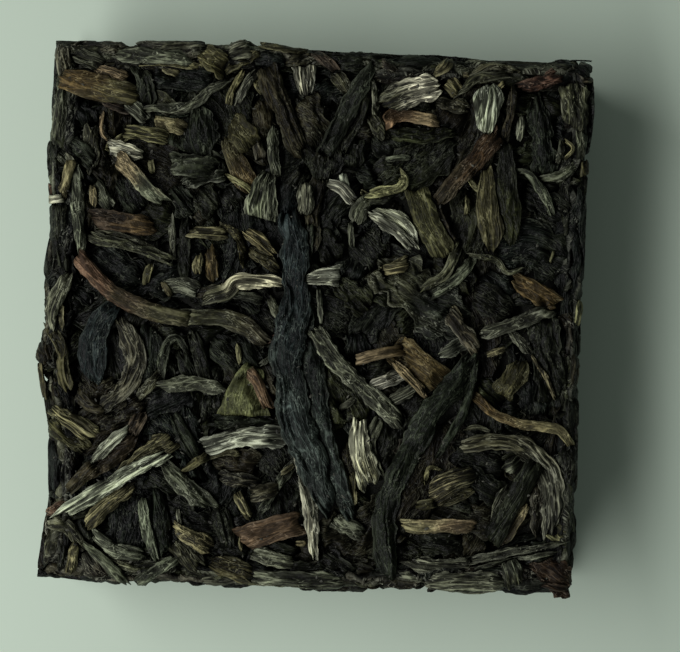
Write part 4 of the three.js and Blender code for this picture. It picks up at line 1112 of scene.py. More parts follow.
draw = Draw(35)
number = 0
for side in range(4):
    for z in WALL_ROWS:
        for start, end in wall_course(draw):
            proud = draw(-0.65, 0.65)
            rise = z + draw(-0.5, 0.5)
            slope = draw(-0.06, 0.06) * (end - start) / 2
            width = 3.3 * draw(0.88, 1.12)
            middle = side * QUARTER + QUARTER / 2
            kind = "blade" if number % 3 else "roll"
            path = [middle + start, rise - slope, middle + (start + end) / 2, rise]
            path += [middle + end, rise + slope]
            # The right-hand wall, on the side away from the light, takes only dark tones: painted shade.
            tones = WALL_TONES if side else SHADED_TONES
            tone = tones[number % len(tones)]
            row = (kind, width * 0.9, 0.3 - proud * 0.3, tone, *path)
            press_leaf(wall_face, row, number, "wall_leaves", 1.7)
            number += 1
fill_gaps(wall_face, "wall_leaves", 260, (0.05, 0.7), (1.1, 2.2), (4, 11), (-0.35, 0.35), 1.9)
print(wall_face.laid, "leaves on the walls")

# %% [markdown]
# The underside.
# It isn't seen in the photograph, and in a mould it comes out as flat as the top. Broad
# leaves lie flush on it, and smaller ones fill between them.

# %% Underside
UNDER_TONES = ["slate", "coal", "umber", "ash", "moss", "taupe", "ink", "dun"]
rng = np.random.default_rng([SEED, 90])
for n in range(70):
    a, b = rng.uniform(-24.5, 24.5, 2)
    heading = rng.uniform(0, math.pi)
    reach = rng.uniform(4, 9)
    path = []
    for share in (-1, 0, 1):
        x = a + share * reach * math.cos(heading)
        y = b + share * reach * math.sin(heading)
        path += [min(max(x, -26.5), 26.5), min(max(y, -26.5), 26.5)]
    kind = "blade" if n % 2 else "roll"
    row = (kind, rng.uniform(1.8, 3.6), rng.uniform(0.05, 0.4), UNDER_TONES[n % len(UNDER_TONES)], *path)
    press_leaf(under_face, row, n, "base_leaves", 2.0)
fill_gaps(under_face, "base_leaves", 110, (0.2, 0.6), (1.5, 3.2), (5, 12), (0, math.pi), 2.1)
print(under_face.laid, "leaves on the underside")

# %% [markdown]
# The core.
# Inside, the brick is a solid mass of leaf, of which only black depths show. It is one
# rounded block with a coarse lumpy surface, a little smaller than the brick all round.

# %% Core
CORE_CUTS = 44
CORE_ROUND = 1.6
LUMP = 0.35


def make_core():
    """A rounded, lumpy block under the leaves."""
    low = Vector((-SIDE_FACE + SIDE_GAP, -SIDE_FACE + SIDE_GAP, UNDER_GAP))
    high = Vector((SIDE_FACE - SIDE_GAP, SIDE_FACE - SIDE_GAP, HEIGHT - TOP_GAP))
    block = bmesh.new()
    bmesh.ops.create_cube(block, size=1)
    bmesh.ops.subdivide_edges(block, edges=block.edges[:], cuts=CORE_CUTS, use_grid_fill=True)
    for vertex in block.verts:
        spot = Vector([low[n] + (vertex.co[n] + 0.5) * (high[n] - low[n]) for n in range(3)])
        inner = Vector([min(max(spot[n], low[n] + CORE_ROUND), high[n] - CORE_ROUND) for n in range(3)])
        away = spot - inner
        if away.length > 0:
            away = away.normalized() * CORE_ROUND
        lump = LUMP * noise.noise(spot * 0.6) + LUMP / 2 * noise.noise(spot * 1.7)
        vertex.co = (inner + away * (1 + lump / CORE_ROUND)) * MM
    mesh = bpy.data.meshes.new("tea_core")
    bmesh.ops.recalc_face_normals(block, faces=block.faces[:])
    bmesh.ops.triangulate(block, faces=block.faces[:])
    block.to_mesh(mesh)
    block.free()
    places = np.empty(len(mesh.vertices) * 3, np.float32)
    mesh.vertices.foreach_get("co", places)
    places = places.reshape(-1, 3)
    right = SIDE_FACE + wall_offset(0, places[:, 1] / MM) - SIDE_GAP
    back = SIDE_FACE + wall_offset(1, -places[:, 0] / MM) - SIDE_GAP
    left = SIDE_FACE + wall_offset(2, -places[:, 1] / MM) - SIDE_GAP
    front = SIDE_FACE + wall_offset(3, places[:, 0] / MM) - SIDE_GAP
    places[:, 0] = np.clip(places[:, 0], -left * MM, right * MM)
    places[:, 1] = np.clip(places[:, 1], -front * MM, back * MM)
    mesh.vertices.foreach_set("co", places.ravel())
    mesh.shade_smooth()
    return bpy.data.objects.new("tea_core", mesh)


core = make_core()
bpy.context.scene.collection.objects.link(core)
print("core:", len(core.data.polygons), "triangles")

# %% [markdown]
# From points to meshes.
# Each kind of leaf becomes one mesh. Writing the whole arrays at once is much quicker than
# a loop over points. The tone and the paleness go along as attributes of the points, and
# the place on the leaf as a UV map in millimetres.

# %% Build the meshes
def build_mesh(name, store):
    """One mesh object of all the leaves of a piece."""
    points = np.concatenate(store["points"]) * MM
    triangles = np.concatenate(store["triangles"]).astype(np.int32)
    tone = np.concatenate(store["tone"])
    fibre = np.concatenate(store["fibre"])
    mesh = bpy.data.meshes.new(name)
    mesh.vertices.add(len(points))
    mesh.vertices.foreach_set("co", points.astype(np.float32).ravel())
    mesh.loops.add(triangles.size)
    mesh.loops.foreach_set("vertex_index", triangles.ravel())
    mesh.polygons.add(len(triangles))
    mesh.polygons.foreach_set("loop_start", np.arange(0, triangles.size, 3, dtype=np.int32))
    mesh.update(calc_edges=True)
    mesh.validate()
    mesh.shade_smooth()
    colour = mesh.attributes.new("tone", "FLOAT_COLOR", "POINT")
    colour.data.foreach_set("color", np.hstack([tone, np.ones((len(tone), 1))]).astype(np.float32).ravel())
    for label in ("pale", "edge", "lined"):
        values = mesh.attributes.new(label, "FLOAT", "POINT")
        values.data.foreach_set("value", np.concatenate(store[label]).astype(np.float32))
    grain = mesh.uv_layers.new(name="fibre")
    grain.uv.foreach_set("vector", fibre[triangles.ravel()].astype(np.float32).ravel())
    piece = bpy.data.objects.new(name, mesh)
    bpy.context.scene.collection.objects.link(piece)
    return piece


pieces = {"tea_core": core}
for name, store in grown.items():
    pieces[name] = build_mesh(name, store)
    print(f"{name}: {len(pieces[name].data.polygons)} triangles")

# %% [markdown]
# Fibres and mottling, as shader groups.
# Two effects are wanted by every leaf. Dried leaf has hair-fine fibres that run along it,
# and its colour is never even. The fibre group also gives the crest lines and fine glints
# that the materials paint as highlights. Each effect is a node group, built once, and every
# material sets its own values on it.

# %% Shader groups
def new_group(name, inputs, outputs):
    """An empty shader group with its sockets, and the nodes at its two ends."""
    group = bpy.data.node_groups.new(name, "ShaderNodeTree")
    for label, kind, value in inputs:
        socket = group.interface.new_socket(name=label, in_out="INPUT", socket_type=kind)
        if value is not None:
            socket.default_value = value
    for label, kind in outputs:
        group.interface.new_socket(name=label, in_out="OUTPUT", socket_type=kind)
    return group, group.nodes.new("NodeGroupInput"), group.nodes.new("NodeGroupOutput")


def crest_line(group, place, across, along, sharp):
    """Meandering crests: a noise stretched along the leaf, bright where it crosses its middle."""
    link = group.links.new
    size = group.nodes.new("ShaderNodeVectorMath")
    size.operation = "DIVIDE"
    size.inputs[1].default_value = (across, along, 1)
    link(place, size.inputs[0])
    folds = group.nodes.new("ShaderNodeTexNoise")
    folds.inputs["Scale"].default_value = 1.0
    folds.inputs["Detail"].default_value = 1.0
    folds.inputs["Distortion"].default_value = 0.5
    link(size.outputs[0], folds.inputs["Vector"])
    away = group.nodes.new("ShaderNodeMath")
    away.operation = "SUBTRACT"
    away.inputs[1].default_value = 0.5
    link(folds.outputs["Fac"], away.inputs[0])
    size_of = group.nodes.new("ShaderNodeMath")
    size_of.operation = "ABSOLUTE"
    link(away.outputs[0], size_of.inputs[0])
    crest = group.nodes.new("ShaderNodeMapRange")
    crest.interpolation_type = "SMOOTHSTEP"
    crest.inputs["From Min"].default_value = sharp
    crest.inputs["From Max"].default_value = 0.0
    link(size_of.outputs[0], crest.inputs["Value"])
    return crest.outputs[0]


def fibre_group():
    """Crest lines and hair-fine streaks along the leaf, as a height and as a pale mask, and fine glints; the
    materials paint crest lines and glints as highlights.
    """
    inputs = [("Fibre Map", "NodeSocketVector", None), ("Across", "NodeSocketFloat", 0.1),
              ("Along", "NodeSocketFloat", 1.3)]
    outputs = [("Height", "NodeSocketFloat"), ("Pale Mask", "NodeSocketFloat"), ("Crest", "NodeSocketFloat"),
               ("Painted Glint", "NodeSocketFloat")]
    group, enter, leave = new_group("Leaf Fibre", inputs, outputs)
    link = group.links.new
    size = group.nodes.new("ShaderNodeCombineXYZ")
    size.inputs["Z"].default_value = 1
    link(enter.outputs["Across"], size.inputs["X"])
    link(enter.outputs["Along"], size.inputs["Y"])
    scaled = group.nodes.new("ShaderNodeVectorMath")
    scaled.operation = "DIVIDE"
    link(enter.outputs["Fibre Map"], scaled.inputs[0])
    link(size.outputs[0], scaled.inputs[1])
    fine = group.nodes.new("ShaderNodeTexNoise")
    fine.inputs["Scale"].default_value = 1.0
    fine.inputs["Detail"].default_value = 2.0
    fine.inputs["Roughness"].default_value = 0.6
    fine.inputs["Distortion"].default_value = 0.35
    link(scaled.outputs[0], fine.inputs["Vector"])
    mask = group.nodes.new("ShaderNodeMapRange")
    mask.inputs["From Min"].default_value = 0.40
    mask.inputs["From Max"].default_value = 0.62
    link(fine.outputs["Fac"], mask.inputs["Value"])
    wide = crest_line(group, enter.outputs["Fibre Map"], 0.85, 3.2, 0.05)
    narrow = crest_line(group, enter.outputs["Fibre Map"], 0.42, 1.5, 0.05)
    crest = group.nodes.new("ShaderNodeMath")
    crest.operation = "MULTIPLY_ADD"
    crest.use_clamp = True
    crest.inputs[1].default_value = 0.6
    link(narrow, crest.inputs[0])
    link(wide, crest.inputs[2])
    # Fine glint lines, which the materials paint as highlights.
    painted_glint = crest_line(group, enter.outputs["Fibre Map"], 0.30, 0.55, 0.04)
    height = group.nodes.new("ShaderNodeMath")
    height.operation = "MULTIPLY_ADD"
    height.inputs[1].default_value = 0.35
    link(fine.outputs["Fac"], height.inputs[0])
    link(crest.outputs[0], height.inputs[2])
    link(painted_glint, leave.inputs["Painted Glint"])
    link(height.outputs[0], leave.inputs["Height"])
    link(mask.outputs[0], leave.inputs["Pale Mask"])
    link(crest.outputs[0], leave.inputs["Crest"])
    return group


def mottle_group():
    """Uneven colour as a factor around one: blotches, and small light and dark specks."""
    inputs = [("Spot", "NodeSocketVector", None), ("Fibre Map", "NodeSocketVector", None),
              ("Blotches", "NodeSocketFloat", 0.3), ("Specks", "NodeSocketFloat", 1.0)]
    outputs = [("Factor", "NodeSocketFloat"), ("Speck Height", "NodeSocketFloat"),
               ("Patch", "NodeSocketFloat")]
    group, enter, leave = new_group("Leaf Mottle", inputs, outputs)
    link = group.links.new
    broad = group.nodes.new("ShaderNodeTexNoise")
    broad.inputs["Scale"].default_value = 450
    broad.inputs["Detail"].default_value = 3
    broad.inputs["Roughness"].default_value = 0.65
    link(enter.outputs["Spot"], broad.inputs["Vector"])
    small = group.nodes.new("ShaderNodeTexNoise")
    small.inputs["Scale"].default_value = 3.2
    small.inputs["Detail"].default_value = 2
    small.inputs["Roughness"].default_value = 0.7
    link(enter.outputs["Fibre Map"], small.inputs["Vector"])
    sums = []
    for source, strength in ((broad, "Blotches"), (small, "Specks")):
        centred = group.nodes.new("ShaderNodeMath")
        centred.operation = "SUBTRACT"
        centred.inputs[1].default_value = 0.5
        link(source.outputs["Fac"], centred.inputs[0])
        scaled = group.nodes.new("ShaderNodeMath")
        scaled.operation = "MULTIPLY"
        link(centred.outputs[0], scaled.inputs[0])
        link(enter.outputs[strength], scaled.inputs[1])
        sums.append(scaled)
    both = group.nodes.new("ShaderNodeMath")
    both.operation = "ADD"
    link(sums[0].outputs[0], both.inputs[0])
    link(sums[1].outputs[0], both.inputs[1])
    factor = group.nodes.new("ShaderNodeMath")
    factor.operation = "EXPONENT"
    link(both.outputs[0], factor.inputs[0])
    link(factor.outputs[0], leave.inputs["Factor"])
    link(small.outputs["Fac"], leave.inputs["Speck Height"])
    patch = group.nodes.new("ShaderNodeMapRange")
    patch.interpolation_type = "SMOOTHSTEP"
    patch.inputs["From Min"].default_value = 0.45
    patch.inputs["From Max"].default_value = 0.60
    link(broad.outputs["Fac"], patch.inputs["Value"])
    link(patch.outputs[0], leave.inputs["Patch"])
    return group


LEAF_FIBRE = fibre_group()
LEAF_MOTTLE = mottle_group()
print("groups:", LEAF_FIBRE.name, "and", LEAF_MOTTLE.name)

# %% [markdown]
# The leaf materials.
# All leaves share one recipe: the tone of the leaf, with painted shade in its valleys and a
# pale colour where a ridge and a fibre meet, which is partly the real down and partly a painted
# highlight. The crest lines are painted lighter and the ground beside them darker, and painted
# highlights also run along the edges and as fine glints in patches. What differs from kind to
# kind is how dark the painted valley shade is, how pale the down and the highlights are, and how
# dull the surface. Old dark leaf has a leathery sheen, a bud is soft and matt, and wood is dry.

# %% Leaf materials
# How dark the painted shade in the valleys gets on the most lined leaves.
PAINTED_VALLEY_SHADE = 0.15
# How strong the painted glint highlights are.
PAINTED_GLINT = 0.9


def add_node(tree, kind, values):
    """A node with some of its inputs set."""
    node = tree.nodes.new(kind)
    for label, value in values.items():
        node.inputs[label].default_value = value
    return node


def leaf_material(name, down_and_highlight, down_and_highlight_gain, rough, rough_pale, bump, blotch, specks,
                  fibre_width=0.1, even=0.08):
    """Tone with painted valley shade, painted light and shade on the crest lines, down with painted
    highlights on ridges and edges, painted glints, mottling and fibres, with its own dullness.
    """
    material = bpy.data.materials.new(name)
    material.use_nodes = True
    tree = material.node_tree
    link = tree.links.new
    shader = tree.nodes["Principled BSDF"]
    shader.inputs["Specular IOR Level"].default_value = 0.14
    tone = tree.nodes.new("ShaderNodeAttribute")
    tone.attribute_name = "tone"
    pale = tree.nodes.new("ShaderNodeAttribute")
    pale.attribute_name = "pale"
    edge = tree.nodes.new("ShaderNodeAttribute")
    edge.attribute_name = "edge"
    place = tree.nodes.new("ShaderNodeUVMap")
    place.uv_map = "fibre"
    spot = tree.nodes.new("ShaderNodeTexCoord")
    fibre = tree.nodes.new("ShaderNodeGroup")
    fibre.node_tree = LEAF_FIBRE
    fibre.inputs["Across"].default_value = fibre_width
    link(place.outputs["UV"], fibre.inputs["Fibre Map"])
    mottle = tree.nodes.new("ShaderNodeGroup")
    mottle.node_tree = LEAF_MOTTLE
    mottle.inputs["Blotches"].default_value = blotch
    mottle.inputs["Specks"].default_value = specks
    link(spot.outputs["Object"], mottle.inputs["Spot"])
    link(place.outputs["UV"], mottle.inputs["Fibre Map"])
    lined = tree.nodes.new("ShaderNodeAttribute")
    lined.attribute_name = "lined"
    # Painted shade in the valleys: away from the ridges the tone is darkened, the more so on strongly lined
    # leaves.
    painted_valley_shade = add_node(tree, "ShaderNodeMapRange", {"To Min": 1.0, "To Max": PAINTED_VALLEY_SHADE})
    link(lined.outputs["Fac"], painted_valley_shade.inputs["Value"])
    ridge = add_node(tree, "ShaderNodeMapRange", {"From Max": 0.35})
    link(painted_valley_shade.outputs[0], ridge.inputs["To Min"])
    link(pale.outputs["Fac"], ridge.inputs["Value"])
    # Painted light and shade along the crests: the tone is raised on the crest lines and lowered beside
    # them.
    darkest = add_node(tree, "ShaderNodeMapRange", {"To Min": 0.85, "To Max": 0.2})
    link(lined.outputs["Fac"], darkest.inputs["Value"])
    brightest = add_node(tree, "ShaderNodeMapRange", {"To Min": 1.3, "To Max": 4.0})
    link(lined.outputs["Fac"], brightest.inputs["Value"])
    painted_crest_light_and_shade = tree.nodes.new("ShaderNodeMapRange")
    link(darkest.outputs[0], painted_crest_light_and_shade.inputs["To Min"])
    link(brightest.outputs[0], painted_crest_light_and_shade.inputs["To Max"])
    link(fibre.outputs["Crest"], painted_crest_light_and_shade.inputs["Value"])
    shade = tree.nodes.new("ShaderNodeMath")
    shade.operation = "MULTIPLY"
    link(ridge.outputs[0], shade.inputs[0])
    link(mottle.outputs["Factor"], shade.inputs[1])
    painted_light_and_mottle = tree.nodes.new("ShaderNodeMath")
    painted_light_and_mottle.operation = "MULTIPLY"
    link(shade.outputs[0], painted_light_and_mottle.inputs[0])
    link(painted_crest_light_and_shade.outputs[0], painted_light_and_mottle.inputs[1])
    base = tree.nodes.new("ShaderNodeVectorMath")
    base.operation = "SCALE"
    link(tone.outputs["Color"], base.inputs[0])
    link(painted_light_and_mottle.outputs[0], base.inputs["Scale"])
    # The pale colour: partly the real down, partly a painted highlight.
    lit = tree.nodes.new("ShaderNodeVectorMath")
    lit.operation = "MULTIPLY_ADD"
    lit.inputs[1].default_value = (down_and_highlight_gain, down_and_highlight_gain, down_and_highlight_gain)
    lit.inputs[2].default_value = down_and_highlight
    link(tone.outputs["Color"], lit.inputs[0])
    line = add_node(tree, "ShaderNodeMapRange", {"To Min": even, "To Max": 2.2})
    link(fibre.outputs["Crest"], line.inputs["Value"])
    broken = add_node(tree, "ShaderNodeMapRange", {"To Min": 0.25, "To Max": 1.0})
    link(fibre.outputs["Pale Mask"], broken.inputs["Value"])
    lines = tree.nodes.new("ShaderNodeMath")
    lines.operation = "MULTIPLY"
    link(line.outputs[0], lines.inputs[0])
    link(broken.outputs[0], lines.inputs[1])
    on_crest = tree.nodes.new("ShaderNodeMath")
    on_crest.operation = "MULTIPLY"
    link(pale.outputs["Fac"], on_crest.inputs[0])
    link(lines.outputs[0], on_crest.inputs[1])
    # A painted highlight along the leaf edges, broken in places.
    edge_highlight = tree.nodes.new("ShaderNodeMath")
    edge_highlight.operation = "MULTIPLY"
    link(edge.outputs["Fac"], edge_highlight.inputs[0])
    link(broken.outputs[0], edge_highlight.inputs[1])
    on_line = tree.nodes.new("ShaderNodeMath")
    on_line.operation = "MAXIMUM"
    link(on_crest.outputs[0], on_line.inputs[0])
    link(edge_highlight.outputs[0], on_line.inputs[1])
    # Painted highlights: fine glints, only in patches, mixed in as the pale colour.
    patchy = tree.nodes.new("ShaderNodeMath")
    patchy.operation = "MULTIPLY"
    patchy.inputs[1].default_value = PAINTED_GLINT
    link(mottle.outputs["Patch"], patchy.inputs[0])
    painted_glint = tree.nodes.new("ShaderNodeMath")
    painted_glint.operation = "MULTIPLY"
    painted_glint.use_clamp = True
    link(fibre.outputs["Painted Glint"], painted_glint.inputs[0])
    link(patchy.outputs[0], painted_glint.inputs[1])
    mask = tree.nodes.new("ShaderNodeMath")
    mask.operation = "MAXIMUM"
    link(on_line.outputs[0], mask.inputs[0])
    link(painted_glint.outputs[0], mask.inputs[1])
    colour = tree.nodes.new("ShaderNodeMix")
    colour.data_type = "RGBA"
    link(mask.outputs[0], colour.inputs["Factor"])
    link(base.outputs[0], colour.inputs["A"])
    link(lit.outputs[0], colour.inputs["B"])
    link(colour.outputs["Result"], shader.inputs["Base Color"])
    dull = add_node(tree, "ShaderNodeMapRange", {"To Min": rough, "To Max": rough_pale})
    link(mask.outputs[0], dull.inputs["Value"])
    link(dull.outputs[0], shader.inputs["Roughness"])
    grain = tree.nodes.new("ShaderNodeMath")
    grain.operation = "ADD"
    link(fibre.outputs["Height"], grain.inputs[0])
    link(mottle.outputs["Speck Height"], grain.inputs[1])
    relief = add_node(tree, "ShaderNodeBump", {"Distance": bump * MM})
    strength = add_node(tree, "ShaderNodeMapRange", {"To Min": 0.25, "To Max": 1.0})
    link(lined.outputs["Fac"], strength.inputs["Value"])
    link(strength.outputs[0], relief.inputs["Strength"])
    link(grain.outputs[0], relief.inputs["Height"])
    link(relief.outputs["Normal"], shader.inputs["Normal"])
    return material


DARK_LEAF = leaf_material("dark fermented leaf", (0.060, 0.065, 0.047), 3.6, 0.45, 0.66, 0.20, 1.8, 2.8)
GREY_LEAF = leaf_material("grey striped leaf", (0.18, 0.185, 0.145), 3.0, 0.55, 0.75, 0.20, 1.8, 2.6,
                          0.1, 0.2)
OLIVE_LEAF = leaf_material("olive and amber leaf", (0.12, 0.12, 0.078), 2.6, 0.52, 0.70, 0.20, 2.0, 2.8,
                           0.1, 0.2)
BROWN_STEM = leaf_material("dry stem", (0.12, 0.105, 0.08), 2.4, 0.60, 0.75, 0.20, 2.0, 2.8)
SILVER_BUD = leaf_material("silver down of the buds", (0.40, 0.42, 0.34), 1.6, 0.70, 0.9, 0.16, 1.4, 2.2,
                           0.08, 0.35)
print("five leaf materials")

# %% [markdown]
# The core's material.
# It only shows at the bottom of the gaps, and it is nearly black, partly as the dark leaf
# itself and partly as painted shade of those depths, with a coarse grain that catches a little light.

# %% Core material
CORE_MASS = bpy.data.materials.new("packed mass")
CORE_MASS.use_nodes = True
mass = CORE_MASS.node_tree
mass_place = mass.nodes.new("ShaderNodeTexCoord")
mass_grain = add_node(mass, "ShaderNodeTexNoise", {"Scale": 1500, "Detail": 4})
# Nearly black: partly the dark leaf, partly painted shade of the depths.
mass_colour = mass.nodes.new("ShaderNodeValToRGB")
mass_colour.color_ramp.elements[0].color = (0.004, 0.0045, 0.0035, 1)
mass_colour.color_ramp.elements[1].color = (0.03, 0.03, 0.022, 1)
mass_relief = add_node(mass, "ShaderNodeBump", {"Distance": 0.3 * MM})
mass.links.new(mass_place.outputs["Object"], mass_grain.inputs["Vector"])
mass.links.new(mass_grain.outputs["Fac"], mass_colour.inputs["Fac"])
mass.links.new(mass_grain.outputs["Fac"], mass_relief.inputs["Height"])
mass.links.new(mass_colour.outputs["Color"], mass.nodes["Principled BSDF"].inputs["Base Color"])
mass.links.new(mass_relief.outputs["Normal"], mass.nodes["Principled BSDF"].inputs["Normal"])
mass.nodes["Principled BSDF"].inputs["Roughness"].default_value = 0.85
print("core material ready")

# %% [markdown]
# Crumbs, by Geometry Nodes.
# Breaking a brick sheds small flakes, and some stay on it. They follow the surface, which
# is what Geometry Nodes are good at: points are scattered on a sheet that lies over the
# leaves, and each gets a flake, turned and sized at random. The sheet is made from the
# map of the height reached, so the flakes lie on the leaves. The tree ends in real
# geometry with a material, and the result is kept as a plain mesh.

# %% Bed and flake for the crumbs
BED_STEP = 0.6


def grid_faces(rows, columns):
    """Two triangles for every cell of a grid of points."""
    i = np.arange(rows - 1)[:, None] * columns
    k = np.arange(columns - 1)[None, :]
    first, second = i + k, i + columns + k
    upper = np.stack([first, second, second + 1], -1).reshape(-1, 3)
    lower = np.stack([first, second + 1, first + 1], -1).reshape(-1, 3)
    return np.concatenate([upper, lower])


def make_bed():
    """A sheet over the top face, at the height that the leaves reach."""
    steps = np.arange(-SIDE_FACE + 0.6, SIDE_FACE - 0.5, BED_STEP)
    a, b = np.meshgrid(steps, steps, indexing="ij")
    points = upper_place(a, b, upper_face.read(upper_face.reached, a, b)).reshape(-1, 3) * MM
    mesh = bpy.data.meshes.new("crumb_bed")
    mesh.from_pydata(points.tolist(), [], grid_faces(len(steps), len(steps)).tolist())
    bed = bpy.data.objects.new("crumb_bed", mesh)
    bpy.context.scene.collection.objects.link(bed)
    return bed


def make_flake():
    """A thin six-sided flake, one millimetre long, with a bent middle."""
    flake = bmesh.new()
    outline = [(-0.5, 0.05), (-0.2, -0.24), (0.25, -0.2), (0.5, 0.0), (0.22, 0.26), (-0.25, 0.2)]
    ring = [flake.verts.new((x * MM, y * MM, -0.04 * MM)) for x, y in outline]
    low = flake.verts.new((0, 0, -0.02 * MM))
    high = flake.verts.new((0.03 * MM, 0, 0.13 * MM))
    for n in range(len(ring)):
        following = ring[(n + 1) % len(ring)]
        flake.faces.new((ring[n], following, high))
        flake.faces.new((following, ring[n], low))
    mesh = bpy.data.meshes.new("flake")
    flake.to_mesh(mesh)
    flake.free()
    return bpy.data.objects.new("flake", mesh)


CRUMB = bpy.data.materials.new("broken leaf crumbs")
CRUMB.use_nodes = True
crumb_tree = CRUMB.node_tree
crumb_place = crumb_tree.nodes.new("ShaderNodeTexCoord")
crumb_spots = add_node(crumb_tree, "ShaderNodeTexNoise", {"Scale": 900, "Detail": 2})
crumb_colour = crumb_tree.nodes.new("ShaderNodeValToRGB")
crumb_colour.color_ramp.elements[0].position = 0.35
crumb_colour.color_ramp.elements[0].color = (0.016, 0.016, 0.012, 1)
crumb_colour.color_ramp.elements[1].position = 0.72
crumb_colour.color_ramp.elements[1].color = (0.10, 0.10, 0.075, 1)
crumb_tree.links.new(crumb_place.outputs["Object"], crumb_spots.inputs["Vector"])
crumb_tree.links.new(crumb_spots.outputs["Fac"], crumb_colour.inputs["Fac"])
crumb_tree.links.new(crumb_colour.outputs["Color"], crumb_tree.nodes["Principled BSDF"].inputs["Base Color"])
crumb_tree.nodes["Principled BSDF"].inputs["Roughness"].default_value = 0.75
bed = make_bed()
flake = make_flake()
print("bed of", len(bed.data.polygons), "triangles, flake of", len(flake.data.polygons))

# %% Scatter the crumbs
def crumb_tree_group(flake_object, material):
    """Points on a sheet, a flake on each, turned and sized at random, as real geometry."""
    group = bpy.data.node_groups.new("Scatter Crumbs", "GeometryNodeTree")
    add = group.interface.new_socket
    add(name="Sheet", in_out="INPUT", socket_type="NodeSocketGeometry")
    for label, value in (("Crumbs per m2", 1e5), ("Smallest", 0.3), ("Largest", 1.0)):
        socket = add(name=label, in_out="INPUT", socket_type="NodeSocketFloat")
        socket.default_value = value
    seed = add(name="Seed", in_out="INPUT", socket_type="NodeSocketInt")
    seed.default_value = 5
    add(name="Crumbs", in_out="OUTPUT", socket_type="NodeSocketGeometry")
    nodes = group.nodes
    link = group.links.new
    enter = nodes.new("NodeGroupInput")
    leave = nodes.new("NodeGroupOutput")
    scatter = nodes.new("GeometryNodeDistributePointsOnFaces")
    link(enter.outputs["Sheet"], scatter.inputs["Mesh"])
    link(enter.outputs["Crumbs per m2"], scatter.inputs["Density"])
    link(enter.outputs["Seed"], scatter.inputs["Seed"])
    shape = nodes.new("GeometryNodeObjectInfo")
    shape.inputs["Object"].default_value = flake_object
    size = nodes.new("FunctionNodeRandomValue")
    link(enter.outputs["Smallest"], size.inputs[2])
    link(enter.outputs["Largest"], size.inputs[3])
    link(enter.outputs["Seed"], size.inputs["Seed"])
    turn = nodes.new("FunctionNodeRandomValue")
    turn.data_type = "FLOAT_VECTOR"
    turn.inputs[0].default_value = (-0.5, -0.5, 0)
    turn.inputs[1].default_value = (0.5, 0.5, 2 * math.pi)
    spin = nodes.new("FunctionNodeRotateRotation")
    link(scatter.outputs["Rotation"], spin.inputs["Rotation"])
    link(turn.outputs[0], spin.inputs["Rotate By"])
    place = nodes.new("GeometryNodeInstanceOnPoints")
    link(scatter.outputs["Points"], place.inputs["Points"])
    link(shape.outputs["Geometry"], place.inputs["Instance"])
    link(spin.outputs[0], place.inputs["Rotation"])
    link(size.outputs[1], place.inputs["Scale"])
    real = nodes.new("GeometryNodeRealizeInstances")
    paint = nodes.new("GeometryNodeSetMaterial")
    paint.inputs["Material"].default_value = material
    link(place.outputs[0], real.inputs[0])
    link(real.outputs[0], paint.inputs["Geometry"])
    link(paint.outputs[0], leave.inputs["Crumbs"])
    return group


def input_id(group, label):
    """The identifier of a named input, which a modifier needs."""
    for item in group.interface.items_tree:
        if item.item_type == "SOCKET" and item.in_out == "INPUT" and item.name == label:
            return item.identifier
    raise KeyError(label)


scatter_group = crumb_tree_group(flake, CRUMB)
modifier = bed.modifiers.new("crumbs", "NODES")
modifier.node_group = scatter_group
modifier[input_id(scatter_group, "Crumbs per m2")] = 1.6e5
modifier[input_id(scatter_group, "Smallest")] = 0.2
modifier[input_id(scatter_group, "Largest")] = 0.6
modifier[input_id(scatter_group, "Seed")] = 11
graph = bpy.context.evaluated_depsgraph_get()
crumb_mesh = bpy.data.meshes.new_from_object(bed.evaluated_get(graph), depsgraph=graph)
crumb_mesh.name = "crumbs"
bed.modifiers.clear()
bpy.data.objects.remove(bed)
bpy.data.objects.remove(flake)
pieces["crumbs"] = bpy.data.objects.new("crumbs", crumb_mesh)
bpy.context.scene.collection.objects.link(pieces["crumbs"])
print("crumbs:", len(crumb_mesh.polygons), "faces")

# %% [markdown]
# Materials and places in the frame.
# Every piece gets its material, rides on the one body of the brick, and stands for the
# plain solid of the model, which is hidden.

# %% Assign and ride
FINISHES = {
    "tea_core": (CORE_MASS, "dark_leaf"),
    "dark_leaves": (DARK_LEAF, "dark_leaf"),
    "under_leaves": (DARK_LEAF, "dark_leaf"),
    "grey_leaves": (GREY_LEAF, "grey_leaf"),
    "olive_leaves": (OLIVE_LEAF, "olive_leaf"),
    "brown_stems": (BROWN_STEM, "stem"),
    "silver_buds": (SILVER_BUD, "silver_bud"),
    "wall_leaves": (GREY_LEAF, "grey_leaf"),
    "base_leaves": (DARK_LEAF, "dark_leaf"),
    "crumbs": (CRUMB, "crumb"),
}
for name, piece in pieces.items():
    finish, slot = FINISHES[name]
    piece.data.materials.clear()
    piece.data.materials.append(finish)
    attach(piece, "root")
    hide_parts("tea_brick")
print(sum(len(p.data.polygons) for p in pieces.values()), "faces in all")

# %% [markdown]
# Floor, light and camera.
# The brick lies on a pale, slightly green surface. One large soft light stands close on its
# left, so that the light falls off to the right, and the rest is a weak grey surround.
# The camera looks straight down, turned a little, as the photograph was taken.

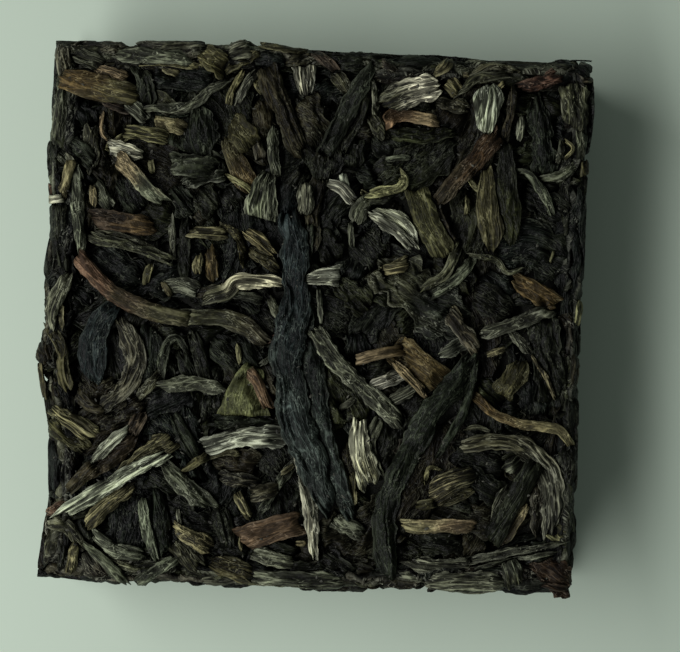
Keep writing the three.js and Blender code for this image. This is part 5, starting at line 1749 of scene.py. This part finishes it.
# %% Floor
floor_mesh = bpy.data.meshes.new("floor")
REACH = 1.5
floor_mesh.from_pydata([(-REACH, -REACH, 0), (REACH, -REACH, 0), (REACH, REACH, 0), (-REACH, REACH, 0)],
                       [], [(0, 1, 2, 3)])
floor = bpy.data.objects.new("floor", floor_mesh)
bpy.context.scene.collection.objects.link(floor)
FLOOR_PAINT = bpy.data.materials.new("pale floor")
FLOOR_PAINT.use_nodes = True
FLOOR_PAINT.node_tree.nodes["Principled BSDF"].inputs["Base Color"].default_value = (0.61, 0.72, 0.60, 1)
FLOOR_PAINT.node_tree.nodes["Principled BSDF"].inputs["Roughness"].default_value = 0.7
floor_mesh.materials.append(FLOOR_PAINT)
print("floor", 2 * REACH, "m wide")

# %% Light
LIGHT_PLACE = Vector((-0.160, -0.045, 0.205))
LIGHT_LONG = 0.42
LIGHT_HIGH = 0.09
LIGHT_POWER = 0.72
window = bpy.data.lights.new("window", "AREA")
window.shape = "RECTANGLE"
window.size = LIGHT_LONG
window.size_y = LIGHT_HIGH
window.energy = LIGHT_POWER
window_lamp = bpy.data.objects.new("window", window)
window_lamp.location = LIGHT_PLACE
window_lamp.rotation_euler = (Vector((0, 0, 0.007)) - LIGHT_PLACE).to_track_quat("-Z", "Y").to_euler()
window_lamp.visible_camera = False
bpy.context.scene.collection.objects.link(window_lamp)
surround = bpy.data.worlds.new("surround")
surround.use_nodes = True
surround.node_tree.nodes["Background"].inputs["Color"].default_value = (0.9, 1.0, 0.95, 1)
surround.node_tree.nodes["Background"].inputs["Strength"].default_value = 0.10
bpy.context.scene.world = surround
bpy.context.scene.view_settings.view_transform = "Standard"
print("light at", [round(v, 3) for v in LIGHT_PLACE])

# %% Camera
VIEW_CENTRE = (2.96, -0.79)
VIEW_WIDTH = 68.6
VIEW_TURN = 2.1
lens = bpy.data.cameras.new("camera")
lens.lens = 100
lens.sensor_width = 36
lens.clip_start = 0.01
distance = VIEW_WIDTH * lens.lens / lens.sensor_width
camera = bpy.data.objects.new("camera", lens)
camera.location = (VIEW_CENTRE[0] * MM, VIEW_CENTRE[1] * MM, (HEIGHT + distance) * MM)
camera.rotation_euler = (0, 0, math.radians(VIEW_TURN))
bpy.context.scene.collection.objects.link(camera)
bpy.context.scene.camera = camera
print(f"camera {distance:.0f} mm above the brick")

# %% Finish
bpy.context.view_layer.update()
print(f"made in {time.time() - started:.0f} s")
